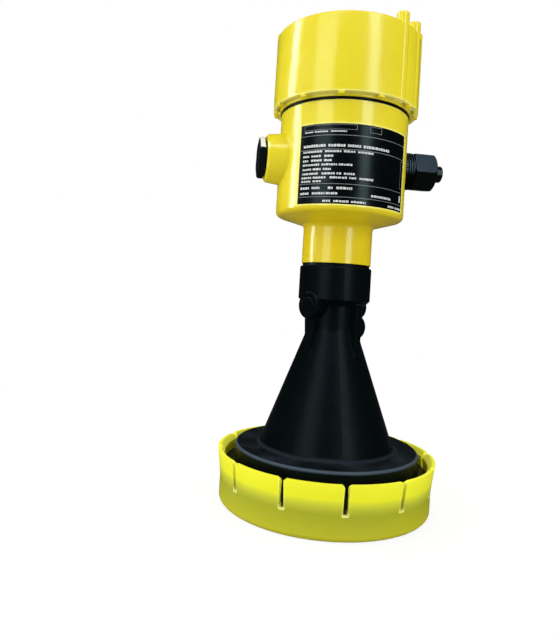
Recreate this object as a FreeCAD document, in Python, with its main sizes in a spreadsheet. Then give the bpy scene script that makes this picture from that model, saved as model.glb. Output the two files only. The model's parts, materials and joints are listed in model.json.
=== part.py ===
import FreeCAD, Part
import math
import os
from types import SimpleNamespace

import Sketcher
from FreeCAD import Placement, Rotation, Vector

# Radar level transmitter with a plastic housing and a plastic horn antenna.
# Millimetres, +Z up along the antenna. The origin is the centre of the protective cap's underside,
# the label faces -Y, the blanking plug points to -X and the cable gland to +X.
# An azimuth is counted in degrees from the front, -Y, towards +X.

CAP_SIZES = {
    "cap_radius": 56.8,
    "cap_flare": 1.8,
    "cap_rim_wall": 1.5,
    "cap_rim_length": 2.6,
    "cap_floor": 2.0,
    "cap_wall": 1.6,
    "cap_corner": 2.3,
    "cap_shelf_height": 14.5,
    "cap_shelf_width": 1.5,
    "slot_foot": 2.0,
    "slot_width": 2.3,
    "slot_lead": 1.1,
    "slot_azimuth": -3.3,
    "slot_count": 12,
    "bead_rise": 2.0,
    "bead_length": 2.8,
    "bead_clearance": 0.3,
    "bead_ramp": 0.7,
}
ANTENNA_SIZES = {
    "lens_clearance": 0.7,
    "lens_rim_height": 5.0,
    "lens_dome_margin": 4.5,
    "lens_dome_depth": 6.0,
    "lens_register_height": 1.5,
    "lens_register_gap": 0.2,
    "seal_groove_inset": 10.8,
    "seal_groove_width": 2.2,
    "seal_groove_depth": 1.2,
    "flange_step": 4.8,
    "flange_height": 10.5,
    "flange_edge": 1.8,
    "flange_wall": 3.0,
    "flange_core_inset": 7.3,
    "flange_shelf": 13.02,
    "cone_foot_fillet": 3.5,
    "cone_neck_fillet": 6.0,
    "horn_length": 107.7,
    "horn_wall": 3.0,
    "stem_length": 13.5,
    "collar_length": 21.0,
    "collar_shelf": 5.8,
    "collar_chamfer": 3.2,
    "collar_radius": 19.6,
    "collar_edge": 1.0,
    "rib_thickness": 4.0,
    "rib_inset": 0.7,
    "rib_length": 26.7,
    "rib_sink": 1.5,
    "rib_azimuth": 33.0,
    "boss_azimuth": -57.0,
    "boss_radius": 7.16,
    "boss_drop": 0.5,
    "boss_pitch": 11.2,
    "boss_proud": 0.4,
    "boss_rib_inset": 1.3,
    "boss_rib_width": 8.3,
    "boss_rib_tip_width": 3.6,
    "boss_plug_radius": 4.2,
    "boss_plug_depth": 3.0,
    "boss_plug_proud": 0.5,
}
SWIVEL_SIZES = {
    "bearing_room": 2.7,
    "ring_groove_drop": 2.8,
    "ring_groove_depth": 1.0,
    "ring_thickness": 1.2,
    "ring_play": 0.05,
    "ring_proud": 1.8,
    "ring_gap_angle": 40.0,
    "sleeve_clearance": 0.05,
    "sleeve_top_gap": 0.3,
    "stop_height": 2.3,
    "stop_angle": 14.0,
    "stop_clearance": 0.3,
    "neck_seal_inset": 0.6,
    "neck_seal_width": 2.3,
    "neck_seal_height": 1.2,
    "waveguide_radius": 8.0,
    "waveguide_wall": 1.5,
    "waveguide_drop": 8.0,
    "feed_base_length": 10.0,
    "feed_tip_length": 24.0,
    "feed_tip_radius": 1.0,
    "source_clearance": 3.9,
    "source_height": 4.6,
    "source_gap": 0.9,
    "source_stub_length": 11.0,
}
HOUSING_SIZES = {
    "neck_step": 0.65,
    "neck_wall": 3.05,
    "neck_gap": 1.5,
    "neck_length": 20.7,
    "neck_fillet": 2.5,
    "belly_rise": 0.29,
    "belly_corner": 3.0,
    "floor_rise": 8.1,
    "body_radius": 34.9,
    "body_length": 59.9,
    "shoulder_corner": 0.8,
    "shoulder_width": 1.9,
    "thread_wall": 2.5,
    "thread_length": 16.7,
    "thread_lead": 1.0,
    "label_foot": 2.3745,
    "label_drop": 12.0,
    "label_depth": 0.5,
    "label_gap": 0.12,
    "label_thickness": 0.3,
    "label_half_angle": 52.8,
    "label_margin": 0.3,
    "entry_drop": 25.3,
    "plug_boss_radius": 12.75,
    "plug_boss_length": 8.0,
    "plug_boss_chamfer": 0.9,
    "plug_boss_draft": 7.5,
    "plug_boss_wall": 4.55,
    "gland_bore_radius": 8.2,
    "gland_spot_depth": 1.7,
    "gland_spot_play": 0.15,
    "inner_boss_wall": 3.2,
    "inner_boss_depth": 5.0,
}
LID_SIZES = {
    "lid_overhang": 4.6,
    "lid_draft": 0.2,
    "lid_gap": 2.5,
    "lid_height": 39.7,
    "lid_plate": 3.0,
    "lid_wall": 3.1,
    "lid_edge": 0.8,
    "lid_ring_wall": 2.7,
    "lid_thread_gap": 0.3,
    "lid_thread_room": 0.6,
    "lid_groove_height": 1.8,
    "skirt_wall": 2.1,
    "tooth_height": 1.5,
    "tooth_inset": 0.1,
    "tooth_angle": 4.4,
    "tooth_azimuth": -17.25,
    "tooth_count": 12,
    "grip_radius": 3.24,
    "grip_sink": 2.77,
    "grip_azimuth": 32.65,
    "grip_pitch": 20.7,
    "lug_height": 5.6,
    "lug_edge": 0.6,
    "lid_seal_height": 1.1,
    "lid_seal_width": 1.9,
}
ENTRY_SIZES = {
    "plug_flats": 19.1,
    "plug_head": 3.4,
    "plug_edge": 0.7,
    "plug_shank_gap": 0.3,
    "plug_shank_length": 10.0,
    "plug_wall": 2.5,
    "gasket_thickness": 0.6,
    "gasket_width": 1.2,
    "gasket_gap": 0.2,
    "sticker_length": 10.0,
    "sticker_width": 2.6,
    "sticker_thickness": 0.12,
    "washer_thickness": 0.6,
    "washer_width": 1.95,
    "gland_thread_gap": 0.2,
    "gland_thread_length": 8.5,
    "gland_ring_length": 1.2,
    "gland_ring_depth": 0.5,
    "gland_ring_teeth": 24,
    "gland_stem_step": 1.2,
    "gland_stem_length": 4.4,
    "gland_ridge_height": 0.9,
    "gland_mouth_step": 1.0,
    "gland_mouth_length": 7.6,
    "gland_wall": 3.0,
    "gland_seat_depth": 7.0,
    "insert_step": 1.4,
    "insert_gap": 0.3,
    "insert_lip": 1.0,
    "insert_flange_step": 0.4,
    "insert_flange": 1.6,
    "nut_flats": 19.7,
    "nut_gap": 0.3,
    "nut_length": 12.85,
    "nut_round": 3.2,
    "nut_thread_gap": 0.3,
    "nut_web": 2.6,
    "dust_pin_gap": 0.06,
    "dust_pin_length": 8.0,
    "dust_head_step": 0.63,
    "dust_head_length": 5.1,
    "dust_head_edge": 0.6,
}
MODULE_SIZES = {
    "module_base_height": 3.0,
    "module_base_gap": 0.4,
    "module_screw_inset": 6.5,
    "case_side_room": 14.0,
    "case_screw_gap": 0.6,
    "case_height": 50.5,
    "case_wall": 1.6,
    "case_corner": 4.0,
    "board_side_gap": 3.0,
    "board_top_gap": 6.5,
    "board_thickness": 1.6,
    "board_place": 4.0,
    "processor_thickness": 1.4,
    "converter_thickness": 6.0,
    "coil_thickness": 7.0,
    "screw_radius": 1.5,
    "screw_depth": 3.5,
    "screw_head_radius": 2.8,
    "screw_head_height": 1.8,
    "screw_slot": 0.8,
    "terminal_side_gap": 1.0,
    "terminal_inset": 2.6,
    "terminal_depth": 11.0,
    "terminal_height": 10.0,
    "terminal_count": 6,
    "terminal_screw_height": 2.2,
    "terminal_well": 1.5,
    "terminal_hole_lift": 1.2,
    "terminal_hole_depth": 3.4,
    "clamp_slot_width": 0.6,
    "clamp_slot_depth": 0.8,
    "carrier_width": 16.0,
    "carrier_depth": 6.0,
    "carrier_height": 3.0,
    "carrier_inset": 5.6,
    "pin_radius": 0.6,
    "pin_length": 4.0,
    "pin_pitch": 3.5,
    "pin_count": 4,
}

# Sizes that follow from the driving ones, as formulas of the same sheet, upwards from the cap.
FOLLOWING_SIZES = {
    "cap_rim_radius": "cap_radius + cap_flare",
    "cap_rim_inside": "cap_rim_radius - cap_rim_wall",
    "slot_bottom": "cap_shelf_height - slot_foot",
    "lens_rim_radius": "cap_radius - cap_wall - lens_clearance",
    "lens_dome_radius": "lens_rim_radius - lens_dome_margin",
    "lens_top": "cap_shelf_height + lens_rim_height",
    "bead_low": "lens_top + bead_rise",
    "bead_high": "bead_low + bead_length",
    "cap_height": "bead_high + cap_rim_length",
    "flange_radius": "lens_rim_radius - flange_step",
    "flange_top": "lens_top + flange_height",
    "seal_groove_radius": "flange_radius - seal_groove_inset",
    "flange_core_inside": "flange_radius - flange_core_inset",
    "cone_foot_radius": "flange_radius - flange_shelf",
    "collar_top": "lens_top + horn_length",
    "collar_low": "collar_top - collar_length",
    "collar_foot_radius": "collar_radius - collar_chamfer",
    "stem_radius": "collar_radius - collar_shelf",
    "stem_foot": "collar_low - stem_length",
    "cone_slope": "(cone_foot_radius - stem_radius) / (stem_foot - flange_top)",
    "cone_apex": "stem_foot + stem_radius / cone_slope",
    "lens_register_top": "lens_top + lens_register_height",
    "lens_register_radius":
        "(cone_apex - lens_register_top) * cone_slope - horn_wall - lens_register_gap",
    "bore_foot": "cone_apex - (waveguide_radius + horn_wall) / cone_slope",
    "rib_reach": "collar_radius - rib_inset",
    "rib_tip": "collar_low - rib_length",
    "rib_top": "collar_low + rib_sink",
    "boss_height": "collar_low - boss_drop",
    "lower_boss_height": "boss_height - boss_pitch",
    "boss_reach": "collar_radius + boss_proud",
    "boss_rib_reach": "collar_radius - boss_rib_inset",
    "neck_radius": "collar_radius - neck_step",
    "neck_bore": "neck_radius - neck_wall",
    "neck_bottom": "collar_top + neck_gap",
    "belly_low": "neck_bottom + neck_length",
    "belly_high": "belly_low + (body_radius - neck_radius) * belly_rise",
    "housing_floor": "belly_low + floor_rise",
    "spigot_radius": "neck_bore - bearing_room",
    "spigot_top": "housing_floor - source_height - source_gap",
    "ring_groove_height": "spigot_top - ring_groove_drop",
    "ring_inside": "spigot_radius - ring_groove_depth + ring_play",
    "ring_radius": "spigot_radius + ring_proud",
    "stop_radius": "neck_bore - stop_clearance",
    "waveguide_top": "spigot_top - waveguide_drop",
    "source_radius": "neck_bore - source_clearance",
    "shoulder_height": "belly_low + body_length",
    "thread_radius": "body_radius - shoulder_width",
    "cavity_radius": "thread_radius - thread_wall",
    "thread_top": "shoulder_height + thread_length",
    "label_low": "belly_high + label_foot",
    "label_high": "shoulder_height - label_drop",
    "entry_height": "shoulder_height - entry_drop",
    "plug_boss_face": "body_radius + plug_boss_length",
    "plug_bore_radius": "plug_boss_radius - plug_boss_wall",
    "plug_head_start": "plug_boss_face + gasket_thickness",
    "gasket_radius": "plug_bore_radius + gasket_width",
    "washer_radius": "gland_bore_radius + washer_width",
    "gland_seat": "body_radius - gland_spot_depth",
    "gland_seat_radius": "washer_radius + gland_spot_play",
    "gland_ring_start": "gland_seat + washer_thickness",
    "gland_ring_end": "gland_ring_start + gland_ring_length",
    "gland_stem_radius": "gland_bore_radius + gland_stem_step",
    "gland_ridge_radius": "gland_stem_radius + gland_ridge_height",
    "gland_face": "gland_ring_end + gland_stem_length",
    "gland_mouth_radius": "gland_stem_radius - gland_mouth_step",
    "gland_bore": "gland_bore_radius - gland_wall",
    "insert_radius": "gland_bore + insert_step",
    "insert_hole": "gland_bore - insert_lip",
    "insert_flange_radius": "gland_mouth_radius - insert_flange_step",
    "nut_start": "gland_face + nut_gap",
    "nut_end": "nut_start + nut_length",
    "dust_head_radius": "gland_bore - dust_head_step",
    "dust_head_end": "nut_end + dust_head_length",
    "lid_radius": "body_radius + lid_overhang",
    "lid_low": "shoulder_height + lid_gap",
    "lid_top": "lid_low + lid_height",
    "lid_ring_low": "shoulder_height + lid_seal_height",
    "tooth_low": "lid_low - tooth_height",
    "grip_circle": "lid_radius - grip_sink",
    "module_top": "housing_floor + module_base_height",
    "module_screw_place": "cavity_radius - module_screw_inset",
    "case_width": "(cavity_radius - case_side_room) * 2",
    "case_half_depth": "module_screw_place - screw_head_radius - case_screw_gap",
    "case_top": "module_top + case_height",
    "carrier_place": "case_half_depth - carrier_depth - carrier_inset",
    "board_width": "case_width - board_side_gap * 2",
    "board_height": "case_height - board_top_gap",
    "terminal_width": "case_width - terminal_side_gap * 2",
    "terminal_front": "terminal_inset - case_half_depth",
    "terminal_pitch": "terminal_width / terminal_count",
    "terminal_hole": "terminal_pitch * 0.66",
    "terminal_screw_radius": "terminal_pitch * 0.31",
}

UP = Vector(0, 0, 1)
RIGHT = Vector(1, 0, 0)
LEFT = Vector(-1, 0, 0)
FRONT = -90.0
LENS_DOME_STEPS = 8
OVERRUN = 1.0
SINK = 0.5
BOSS_RIM_SHARE = 0.8
RIDGE_COUNT = 3
GRIP_COUNT = 3
NUT_TURN = 39.0
PLUG_TURN = 47.0
# Places of the board's components in shares of its width and height: left, right, low, high.
PROCESSOR_PLACE = (-0.26, 0.26, 0.545, 0.864)
CONVERTER_PLACE = (-0.41, -0.04, 0.136, 0.41)
COIL_PLACE = (0.07, 0.41, 0.114, 0.318)


class Size:
    """A number that remembers the sheet expression it comes from."""

    def __init__(self, value, text):
        self.value = value
        self.text = text

    def __add__(self, other):
        other = as_size(other)
        return Size(self.value + other.value, f"({self.text} + {other.text})")

    def __sub__(self, other):
        other = as_size(other)
        return Size(self.value - other.value, f"({self.text} - {other.text})")

    def __mul__(self, other):
        other = as_size(other)
        return Size(self.value * other.value, f"({self.text} * {other.text})")

    def __truediv__(self, other):
        other = as_size(other)
        return Size(self.value / other.value, f"({self.text} / {other.text})")

    def __neg__(self):
        return Size(-self.value, f"(0 - {self.text})")


def as_size(number):
    """Gives a plain number the form of a Size."""
    if isinstance(number, Size):
        return number
    return Size(float(number), f"({float(number):.6f})")


def cosine(angle):
    """Cosine of an angle in degrees."""
    angle = as_size(angle)
    return Size(math.cos(math.radians(angle.value)), f"cos({angle.text} * 1 deg)")


def sine(angle):
    """Sine of an angle in degrees."""
    angle = as_size(angle)
    return Size(math.sin(math.radians(angle.value)), f"sin({angle.text} * 1 deg)")


def bind(owner, name, size):
    """Ties a property to the sheet."""
    owner.setExpression(name, as_size(size).text)


def make_sheet(groups, following):
    """Writes the sizes into the sheet, driving ones first, and returns them by name."""
    sheet = doc.addObject("Spreadsheet::Sheet", "Sizes")
    named = {}
    row = 0
    for group in groups:
        for name, value in group.items():
            row += 1
            sheet.set(f"A{row}", name)
            sheet.set(f"B{row}", str(value))
            sheet.setAlias(f"B{row}", name)
            named[name] = Size(float(value), f"Sizes.{name}")
    for name, formula in following.items():
        row += 1
        sheet.set(f"A{row}", name)
        sheet.set(f"B{row}", "=" + formula)
        sheet.setAlias(f"B{row}", name)
    doc.recompute()
    for name in following:
        named[name] = Size(float(sheet.get(name)), f"Sizes.{name}")
    return SimpleNamespace(**named)


def new_body(label):
    """Starts a body for one sub-part."""
    body = doc.addObject("PartDesign::Body", label)
    body.Label = label
    return body


def origin_plane(body, role):
    """One of the body's own origin planes or axes."""
    return next(item for item in body.Origin.OriginFeatures if item.Role == role)


def new_sketch(body, name, plane, turn=0.0, lift=None):
    """A sketch on an origin plane, turned about the Z axis or lifted along the plane's normal."""
    sketch = body.newObject("Sketcher::SketchObject", name)
    sketch.AttachmentSupport = [(origin_plane(body, plane), "")]
    sketch.MapMode = "FlatFace"
    axis = Vector(0, 0, 1) if plane == "XY_Plane" else Vector(0, 1, 0)
    sketch.AttachmentOffset = Placement(Vector(), Rotation(axis, as_size(turn).value))
    bind(sketch, "AttachmentOffset.Rotation.Angle", turn)
    if lift is None:
        return sketch
    if plane == "XY_Plane":
        bind(sketch, "AttachmentOffset.Base.z", lift)
    else:
        bind(sketch, "AttachmentOffset.Base.x", as_size(lift) * sine(turn))
        bind(sketch, "AttachmentOffset.Base.z", as_size(lift) * cosine(turn))
    return sketch


def fix_point(sketch, geometry, point, across, along):
    """Ties a sketch point to the sheet through its two coordinates."""
    for kind, size, axis in (("DistanceX", across, -2), ("DistanceY", along, -1)):
        size = as_size(size)
        if size.value == 0.0:
            sketch.addConstraint(Sketcher.Constraint("PointOnObject", geometry, point, axis))
            continue
        index = sketch.addConstraint(
            Sketcher.Constraint(kind, -1, 1, geometry, point, size.value)
        )
        sketch.setExpression(f"Constraints[{index}]", size.text)


def draw_outline(sketch, points):
    """Draws a closed outline whose corners are tied to the sheet."""
    corners = [Vector(as_size(x).value, as_size(y).value, 0) for x, y in points]
    count = len(corners)
    first = sketch.GeometryCount
    lines = [Part.LineSegment(corners[k], corners[(k + 1) % count]) for k in range(count)]
    sketch.addGeometry(lines, False)
    for k in range(count):
        before = first + (k - 1) % count
        sketch.addConstraint(Sketcher.Constraint("Coincident", before, 2, first + k, 1))
    for k, (across, along) in enumerate(points):
        fix_point(sketch, first + k, 1, across, along)


def draw_circle(sketch, across, along, radius):
    """Draws a circle tied to the sheet."""
    centre = Vector(as_size(across).value, as_size(along).value, 0)
    index = sketch.addGeometry(Part.Circle(centre, UP, as_size(radius).value), False)
    fix_point(sketch, index, 3, across, along)
    constraint = sketch.addConstraint(
        Sketcher.Constraint("Radius", index, as_size(radius).value)
    )
    sketch.setExpression(f"Constraints[{constraint}]", as_size(radius).text)


def rectangle(low, high):
    """The corners of a rectangle between two opposite ones."""
    return [low, (high[0], low[1]), high, (low[0], high[1])]


def turn_profile(body, name, points, angle=None, azimuth=0.0, cut=False):
    """Revolves an outline of radius and height about the Z axis, all round or over an angle."""
    sketch = new_sketch(body, name + "_outline", "XZ_Plane", as_size(azimuth) + FRONT)
    draw_outline(sketch, points)
    feature = body.newObject("PartDesign::Groove" if cut else "PartDesign::Revolution", name)
    feature.Profile = sketch
    feature.ReferenceAxis = (sketch, ["V_Axis"])
    feature.Angle = 360.0
    if angle is not None:
        feature.Midplane = True
        bind(feature, "Angle", angle)
    doc.recompute()
    return feature


def push(body, name, sketch, length, both=False, back=False, cut=False):
    """Pads or pockets a sketch along its normal, or against it when back is set."""
    feature = body.newObject("PartDesign::Pocket" if cut else "PartDesign::Pad", name)
    feature.Profile = sketch
    feature.SideType = "Symmetric" if both else "One side"
    feature.Reversed = back != cut
    bind(feature, "Length", length)
    doc.recompute()
    return feature


def repeat_round(body, name, feature, count, angle=360.0):
    """Repeats a feature round the body's Z axis."""
    pattern = body.newObject("PartDesign::PolarPattern", name)
    pattern.Originals = [feature]
    pattern.Axis = (origin_plane(body, "Z_Axis"), [""])
    pattern.Angle = angle
    bind(pattern, "Occurrences", count)
    body.Tip = pattern
    doc.recompute()
    return pattern


def circle_edges(shape, spots, axis=UP, origin=Vector()):
    """Names the circular edges that have these radii at these distances along an axis."""
    names = []
    for number, edge in enumerate(shape.Edges, 1):
        if not isinstance(edge.Curve, Part.Circle):
            continue
        distance = (edge.Curve.Center - origin).dot(axis)
        for radius, place in spots:
            near_radius = abs(edge.Curve.Radius - as_size(radius).value) < 0.02
            if near_radius and abs(distance - as_size(place).value) < 0.02:
                names.append(f"Edge{number}")
    return names


def soften(body, name, kind, size, spots, axis=UP, origin=Vector()):
    """Rounds or chamfers the circular edges found at the given spots."""
    base = body.Tip
    edges = circle_edges(base.Shape, spots, axis, origin)
    if len(edges) < len(spots):
        raise RuntimeError(f"{body.Label}: {name} found {len(edges)} edges of {len(spots)}")
    feature = body.newObject("PartDesign::" + kind, name)
    feature.Base = (base, edges)
    bind(feature, "Radius" if kind == "Fillet" else "Size", size)
    doc.recompute()
    return feature


def hexagon(flats, turn):
    """The corners of a hexagon across its flats."""
    corners = []
    for k in range(6):
        angle = math.radians(60 * k + turn)
        corners.append((
            flats * (math.cos(angle) / math.sqrt(3)),
            flats * (math.sin(angle) / math.sqrt(3)),
        ))
    return corners


def cut_flats(body, name, flats, blank, turn, start, length):
    """Cuts a round blank to a hexagon."""
    sketch = new_sketch(body, name + "_outline", "XY_Plane", 0.0, start)
    draw_circle(sketch, 0, 0, blank + OVERRUN)
    draw_outline(sketch, hexagon(flats, turn))
    return push(body, name, sketch, length, cut=True)


def set_place(piece, x, y, z):
    """Ties a piece's place to the sheet."""
    for name, size in (("x", x), ("y", y), ("z", z)):
        bind(piece, "Placement.Base." + name, size)


def make_box(name, low, high):
    """A box between two opposite corners."""
    piece = doc.addObject("Part::Box", name)
    for side, start, end in zip(("Length", "Width", "Height"), low, high):
        bind(piece, side, as_size(end) - start)
    set_place(piece, *low)
    return piece


def make_cylinder(name, radius, height, place, axis=UP):
    """A cylinder that starts at a place and runs along an axis."""
    piece = doc.addObject("Part::Cylinder", name)
    piece.Placement = Placement(Vector(), Rotation(UP, axis))
    bind(piece, "Radius", radius)
    bind(piece, "Height", height)
    set_place(piece, *place)
    return piece


def fuse(name, pieces):
    """Joins pieces into one."""
    joined = doc.addObject("Part::MultiFuse", name)
    joined.Shapes = pieces
    joined.Refine = True
    return joined


def cut_away(name, base, tools):
    """Cuts tools out of a base."""
    tool = tools[0] if len(tools) == 1 else fuse(name + "_tools", tools)
    result = doc.addObject("Part::Cut", name)
    result.Base = base
    result.Tool = tool
    return result


def group_of(name, pieces):
    """Keeps several separate solids in one sub-part."""
    group = doc.addObject("Part::Compound", name)
    group.Links = pieces
    return group


def point_sideways(body, axis):
    """Turns a piece that was built along Z so that it points out of a cable entry."""
    body.Placement = Placement(Vector(), Rotation(UP, axis))
    bind(body, "Placement.Base.z", s.entry_height)


def cone_radius(height):
    """Outer radius of the horn's cone at a height."""
    return s.cone_slope * (s.cone_apex - height)


def protective_cap():
    """Thin slotted cap: closed floor, shelf under the lens, flared rim with a snap bead."""
    body = new_body("protective_cap")
    wall_inside = s.cap_radius - s.cap_wall
    shelf_inside = s.lens_rim_radius - s.cap_shelf_width
    bead_inside = s.lens_rim_radius + s.bead_clearance
    turn_profile(body, "cap_shell", [
        (0, 0),
        (s.cap_radius, 0),
        (s.cap_radius, s.slot_bottom),
        (s.cap_rim_radius, s.cap_height),
        (s.cap_rim_inside, s.cap_height),
        (bead_inside, s.bead_high),
        (bead_inside, s.bead_low + s.bead_ramp),
        (wall_inside, s.bead_low),
        (wall_inside, s.cap_shelf_height),
        (shelf_inside, s.cap_shelf_height),
        (shelf_inside, s.cap_floor),
        (0, s.cap_floor),
    ])
    soften(body, "cap_corner_round", "Fillet", s.cap_corner, [(s.cap_radius, 0)])
    half = s.slot_width / 2
    sketch = new_sketch(body, "slot_outline", "YZ_Plane", s.slot_azimuth, s.lens_rim_radius)
    draw_outline(sketch, [
        (-half, s.slot_bottom),
        (half, s.slot_bottom),
        (half, s.cap_height - s.slot_lead),
        (half + s.slot_lead, s.cap_height),
        (half + s.slot_lead, s.cap_height + OVERRUN),
        (-half - s.slot_lead, s.cap_height + OVERRUN),
        (-half - s.slot_lead, s.cap_height),
        (-half, s.cap_height - s.slot_lead),
    ])
    slot_reach = s.cap_rim_radius - s.lens_rim_radius + OVERRUN
    slot = push(body, "slot", sketch, slot_reach, cut=True)
    repeat_round(body, "slots", slot, s.slot_count)
    return body


def antenna_lens():
    """Lens of the horn: rim disc, domed underside, register that centres it in the horn."""
    body = new_body("antenna_lens")
    shares = [k / LENS_DOME_STEPS for k in range(1, LENS_DOME_STEPS)]
    dome = [
        (s.lens_dome_radius * share, s.cap_shelf_height - s.lens_dome_depth * (1 - share ** 2))
        for share in shares
    ]
    turn_profile(body, "lens_shape", [
        (0, s.cap_shelf_height - s.lens_dome_depth),
        *dome,
        (s.lens_dome_radius, s.cap_shelf_height),
        (s.lens_rim_radius, s.cap_shelf_height),
        (s.lens_rim_radius, s.lens_top),
        (s.lens_register_radius, s.lens_top),
        (s.lens_register_radius, s.lens_register_top),
        (0, s.lens_register_top),
    ])
    return body


def lens_seal():
    """Seal ring in its groove between the horn's flange and the lens."""
    body = new_body("lens_seal")
    turn_profile(body, "lens_seal_ring", rectangle(
        (s.seal_groove_radius, s.lens_top),
        (s.seal_groove_radius + s.seal_groove_width, s.lens_top + s.seal_groove_depth),
    ))
    return body


def add_rib(body, name, azimuth):
    """Plain gusset ribs on both sides of the stem, in one plane with the axis."""
    sketch = new_sketch(body, name + "_outline", "XZ_Plane", as_size(azimuth) + FRONT)
    draw_outline(sketch, rectangle((-s.rib_reach, s.rib_tip), (s.rib_reach, s.rib_top)))
    push(body, name, sketch, s.rib_thickness, both=True)


def add_strap_bosses(body):
    """Round strap bosses on their tapered gussets, two bosses high on the far side."""
    turn = as_size(s.boss_azimuth) + 90.0
    half_top = s.boss_rib_width / 2
    half_tip = s.boss_rib_tip_width / 2
    gusset = new_sketch(body, "gusset_outline", "YZ_Plane", turn)
    draw_outline(gusset, [
        (-half_tip, s.rib_tip),
        (half_tip, s.rib_tip),
        (half_top, s.rib_top),
        (-half_top, s.rib_top),
    ])
    push(body, "gussets", gusset, s.boss_rib_reach * 2, both=True)
    bosses = new_sketch(body, "boss_outline", "YZ_Plane", turn)
    draw_circle(bosses, 0, s.boss_height, s.boss_radius)
    push(body, "bosses", bosses, s.boss_reach * 2, both=True)
    lower = new_sketch(body, "lower_boss_outline", "YZ_Plane", turn)
    draw_circle(lower, 0, s.lower_boss_height, s.boss_radius)
    push(body, "lower_boss", lower, s.boss_reach)
    direction = boss_direction()
    for name, axis, heights in (
        ("front_boss_rim", -direction, [s.boss_height]),
        ("rear_boss_rims", direction, [s.boss_height, s.lower_boss_height]),
    ):
        spots = [axis * s.boss_reach.value + UP * height.value for height in heights]
        base = body.Tip
        edges = [
            f"Edge{number}" for number, edge in enumerate(base.Shape.Edges, 1)
            if isinstance(edge.Curve, Part.Circle)
            and any((edge.Curve.Center - spot).Length < 0.05 for spot in spots)
        ]
        chamfer = body.newObject("PartDesign::Chamfer", name)
        chamfer.Base = (base, edges)
        bind(chamfer, "Size", s.boss_proud * BOSS_RIM_SHARE)
        doc.recompute()


def boss_direction():
    """Direction from the axis to the rear strap bosses."""
    angle = math.radians(s.boss_azimuth.value + 90.0)
    return Vector(math.cos(angle), math.sin(angle), 0)


def drill_boss_holes(body):
    """Blind holes for the plugs in the faces of the strap bosses."""
    turn = as_size(s.boss_azimuth) + 90.0
    depth = s.boss_plug_depth
    for name, side, heights in (
        ("front_boss_hole", -1.0, [s.boss_height]),
        ("rear_boss_holes", 1.0, [s.boss_height, s.lower_boss_height]),
    ):
        lift = (s.boss_reach - depth) * side
        sketch = new_sketch(body, name + "_outline", "YZ_Plane", turn, lift)
        for height in heights:
            draw_circle(sketch, 0, height, s.boss_plug_radius)
        push(body, name, sketch, depth + OVERRUN, back=side < 0, cut=True)


def horn_antenna():
    """Horn moulding: spigot, collar, strap bosses, gusset ribs, cone and flange, open inside."""
    body = new_body("horn_antenna")
    groove_top = s.ring_groove_height + s.ring_thickness
    turn_profile(body, "horn_outside", [
        (0, s.lens_top),
        (s.flange_radius, s.lens_top),
        (s.flange_radius, s.flange_top),
        (cone_radius(s.flange_top), s.flange_top),
        (s.stem_radius, s.stem_foot),
        (s.stem_radius, s.collar_low),
        (s.collar_foot_radius, s.collar_low),
        (s.collar_radius, s.collar_low + s.collar_chamfer),
        (s.collar_radius, s.collar_top),
        (s.spigot_radius, s.collar_top),
        (s.spigot_radius, s.ring_groove_height),
        (s.spigot_radius - s.ring_groove_depth, s.ring_groove_height),
        (s.spigot_radius - s.ring_groove_depth, groove_top),
        (s.spigot_radius, groove_top),
        (s.spigot_radius, s.spigot_top),
        (0, s.spigot_top),
    ])
    soften(body, "flange_round", "Fillet", s.flange_edge, [(s.flange_radius, s.flange_top)])
    foot = [(cone_radius(s.flange_top), s.flange_top)]
    soften(body, "cone_foot_round", "Fillet", s.cone_foot_fillet, foot)
    soften(body, "cone_neck_round", "Fillet", s.cone_neck_fillet, [(s.stem_radius, s.stem_foot)])
    soften(body, "collar_round", "Fillet", s.collar_edge, [(s.collar_radius, s.collar_top)])
    add_rib(body, "plain_ribs", s.rib_azimuth)
    add_strap_bosses(body)
    drill_boss_holes(body)
    turn_profile(body, "antenna_stop", rectangle(
        (s.spigot_radius - SINK, s.collar_top - SINK),
        (s.stop_radius, s.neck_bottom + s.stop_height - s.stop_clearance),
    ), angle=s.stop_angle, azimuth=180.0)
    turn_profile(body, "horn_inside", [
        (0, s.lens_top),
        (cone_radius(s.lens_top) - s.horn_wall, s.lens_top),
        (s.waveguide_radius, s.bore_foot),
        (s.waveguide_radius, s.spigot_top),
        (0, s.spigot_top),
    ], cut=True)
    turn_profile(body, "seal_groove", rectangle(
        (s.seal_groove_radius, s.lens_top),
        (s.seal_groove_radius + s.seal_groove_width, s.lens_top + s.seal_groove_depth),
    ), cut=True)
    turn_profile(body, "flange_core", rectangle(
        (s.flange_core_inside, s.lens_top),
        (s.flange_radius - s.flange_wall, s.flange_top - s.flange_wall),
    ), cut=True)
    return body


def boss_plugs():
    """Round plugs in the faces of the strap bosses."""
    plugs = []
    direction = boss_direction()
    start = s.boss_reach - s.boss_plug_depth
    length = s.boss_plug_depth + s.boss_plug_proud
    angle = as_size(s.boss_azimuth) + 90.0
    for name, side, height in (
        ("front_plug", -1.0, s.boss_height),
        ("rear_plug", 1.0, s.boss_height),
        ("rear_lower_plug", 1.0, s.lower_boss_height),
    ):
        place = (start * cosine(angle) * side, start * sine(angle) * side, height)
        plugs.append(make_cylinder(
            name, s.boss_plug_radius, length, place, direction * side
        ))
    return group_of("boss_plugs", plugs)


def neck_seal():
    """Seal ring that fills the joint between the collar and the housing's neck."""
    body = new_body("neck_seal")
    outer = s.neck_radius - s.neck_seal_inset
    turn_profile(body, "neck_seal_ring", rectangle(
        (outer - s.neck_seal_width, s.collar_top),
        (outer, s.collar_top + s.neck_seal_height),
    ))
    return body


def bearing_sleeve():
    """Plain bearing in the housing's neck that runs on the spigot."""
    body = new_body("bearing_sleeve")
    turn_profile(body, "sleeve", rectangle(
        (s.spigot_radius + s.sleeve_clearance, s.neck_bottom + s.stop_height),
        (s.neck_bore, s.ring_groove_height - s.sleeve_top_gap),
    ))
    return body


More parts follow.
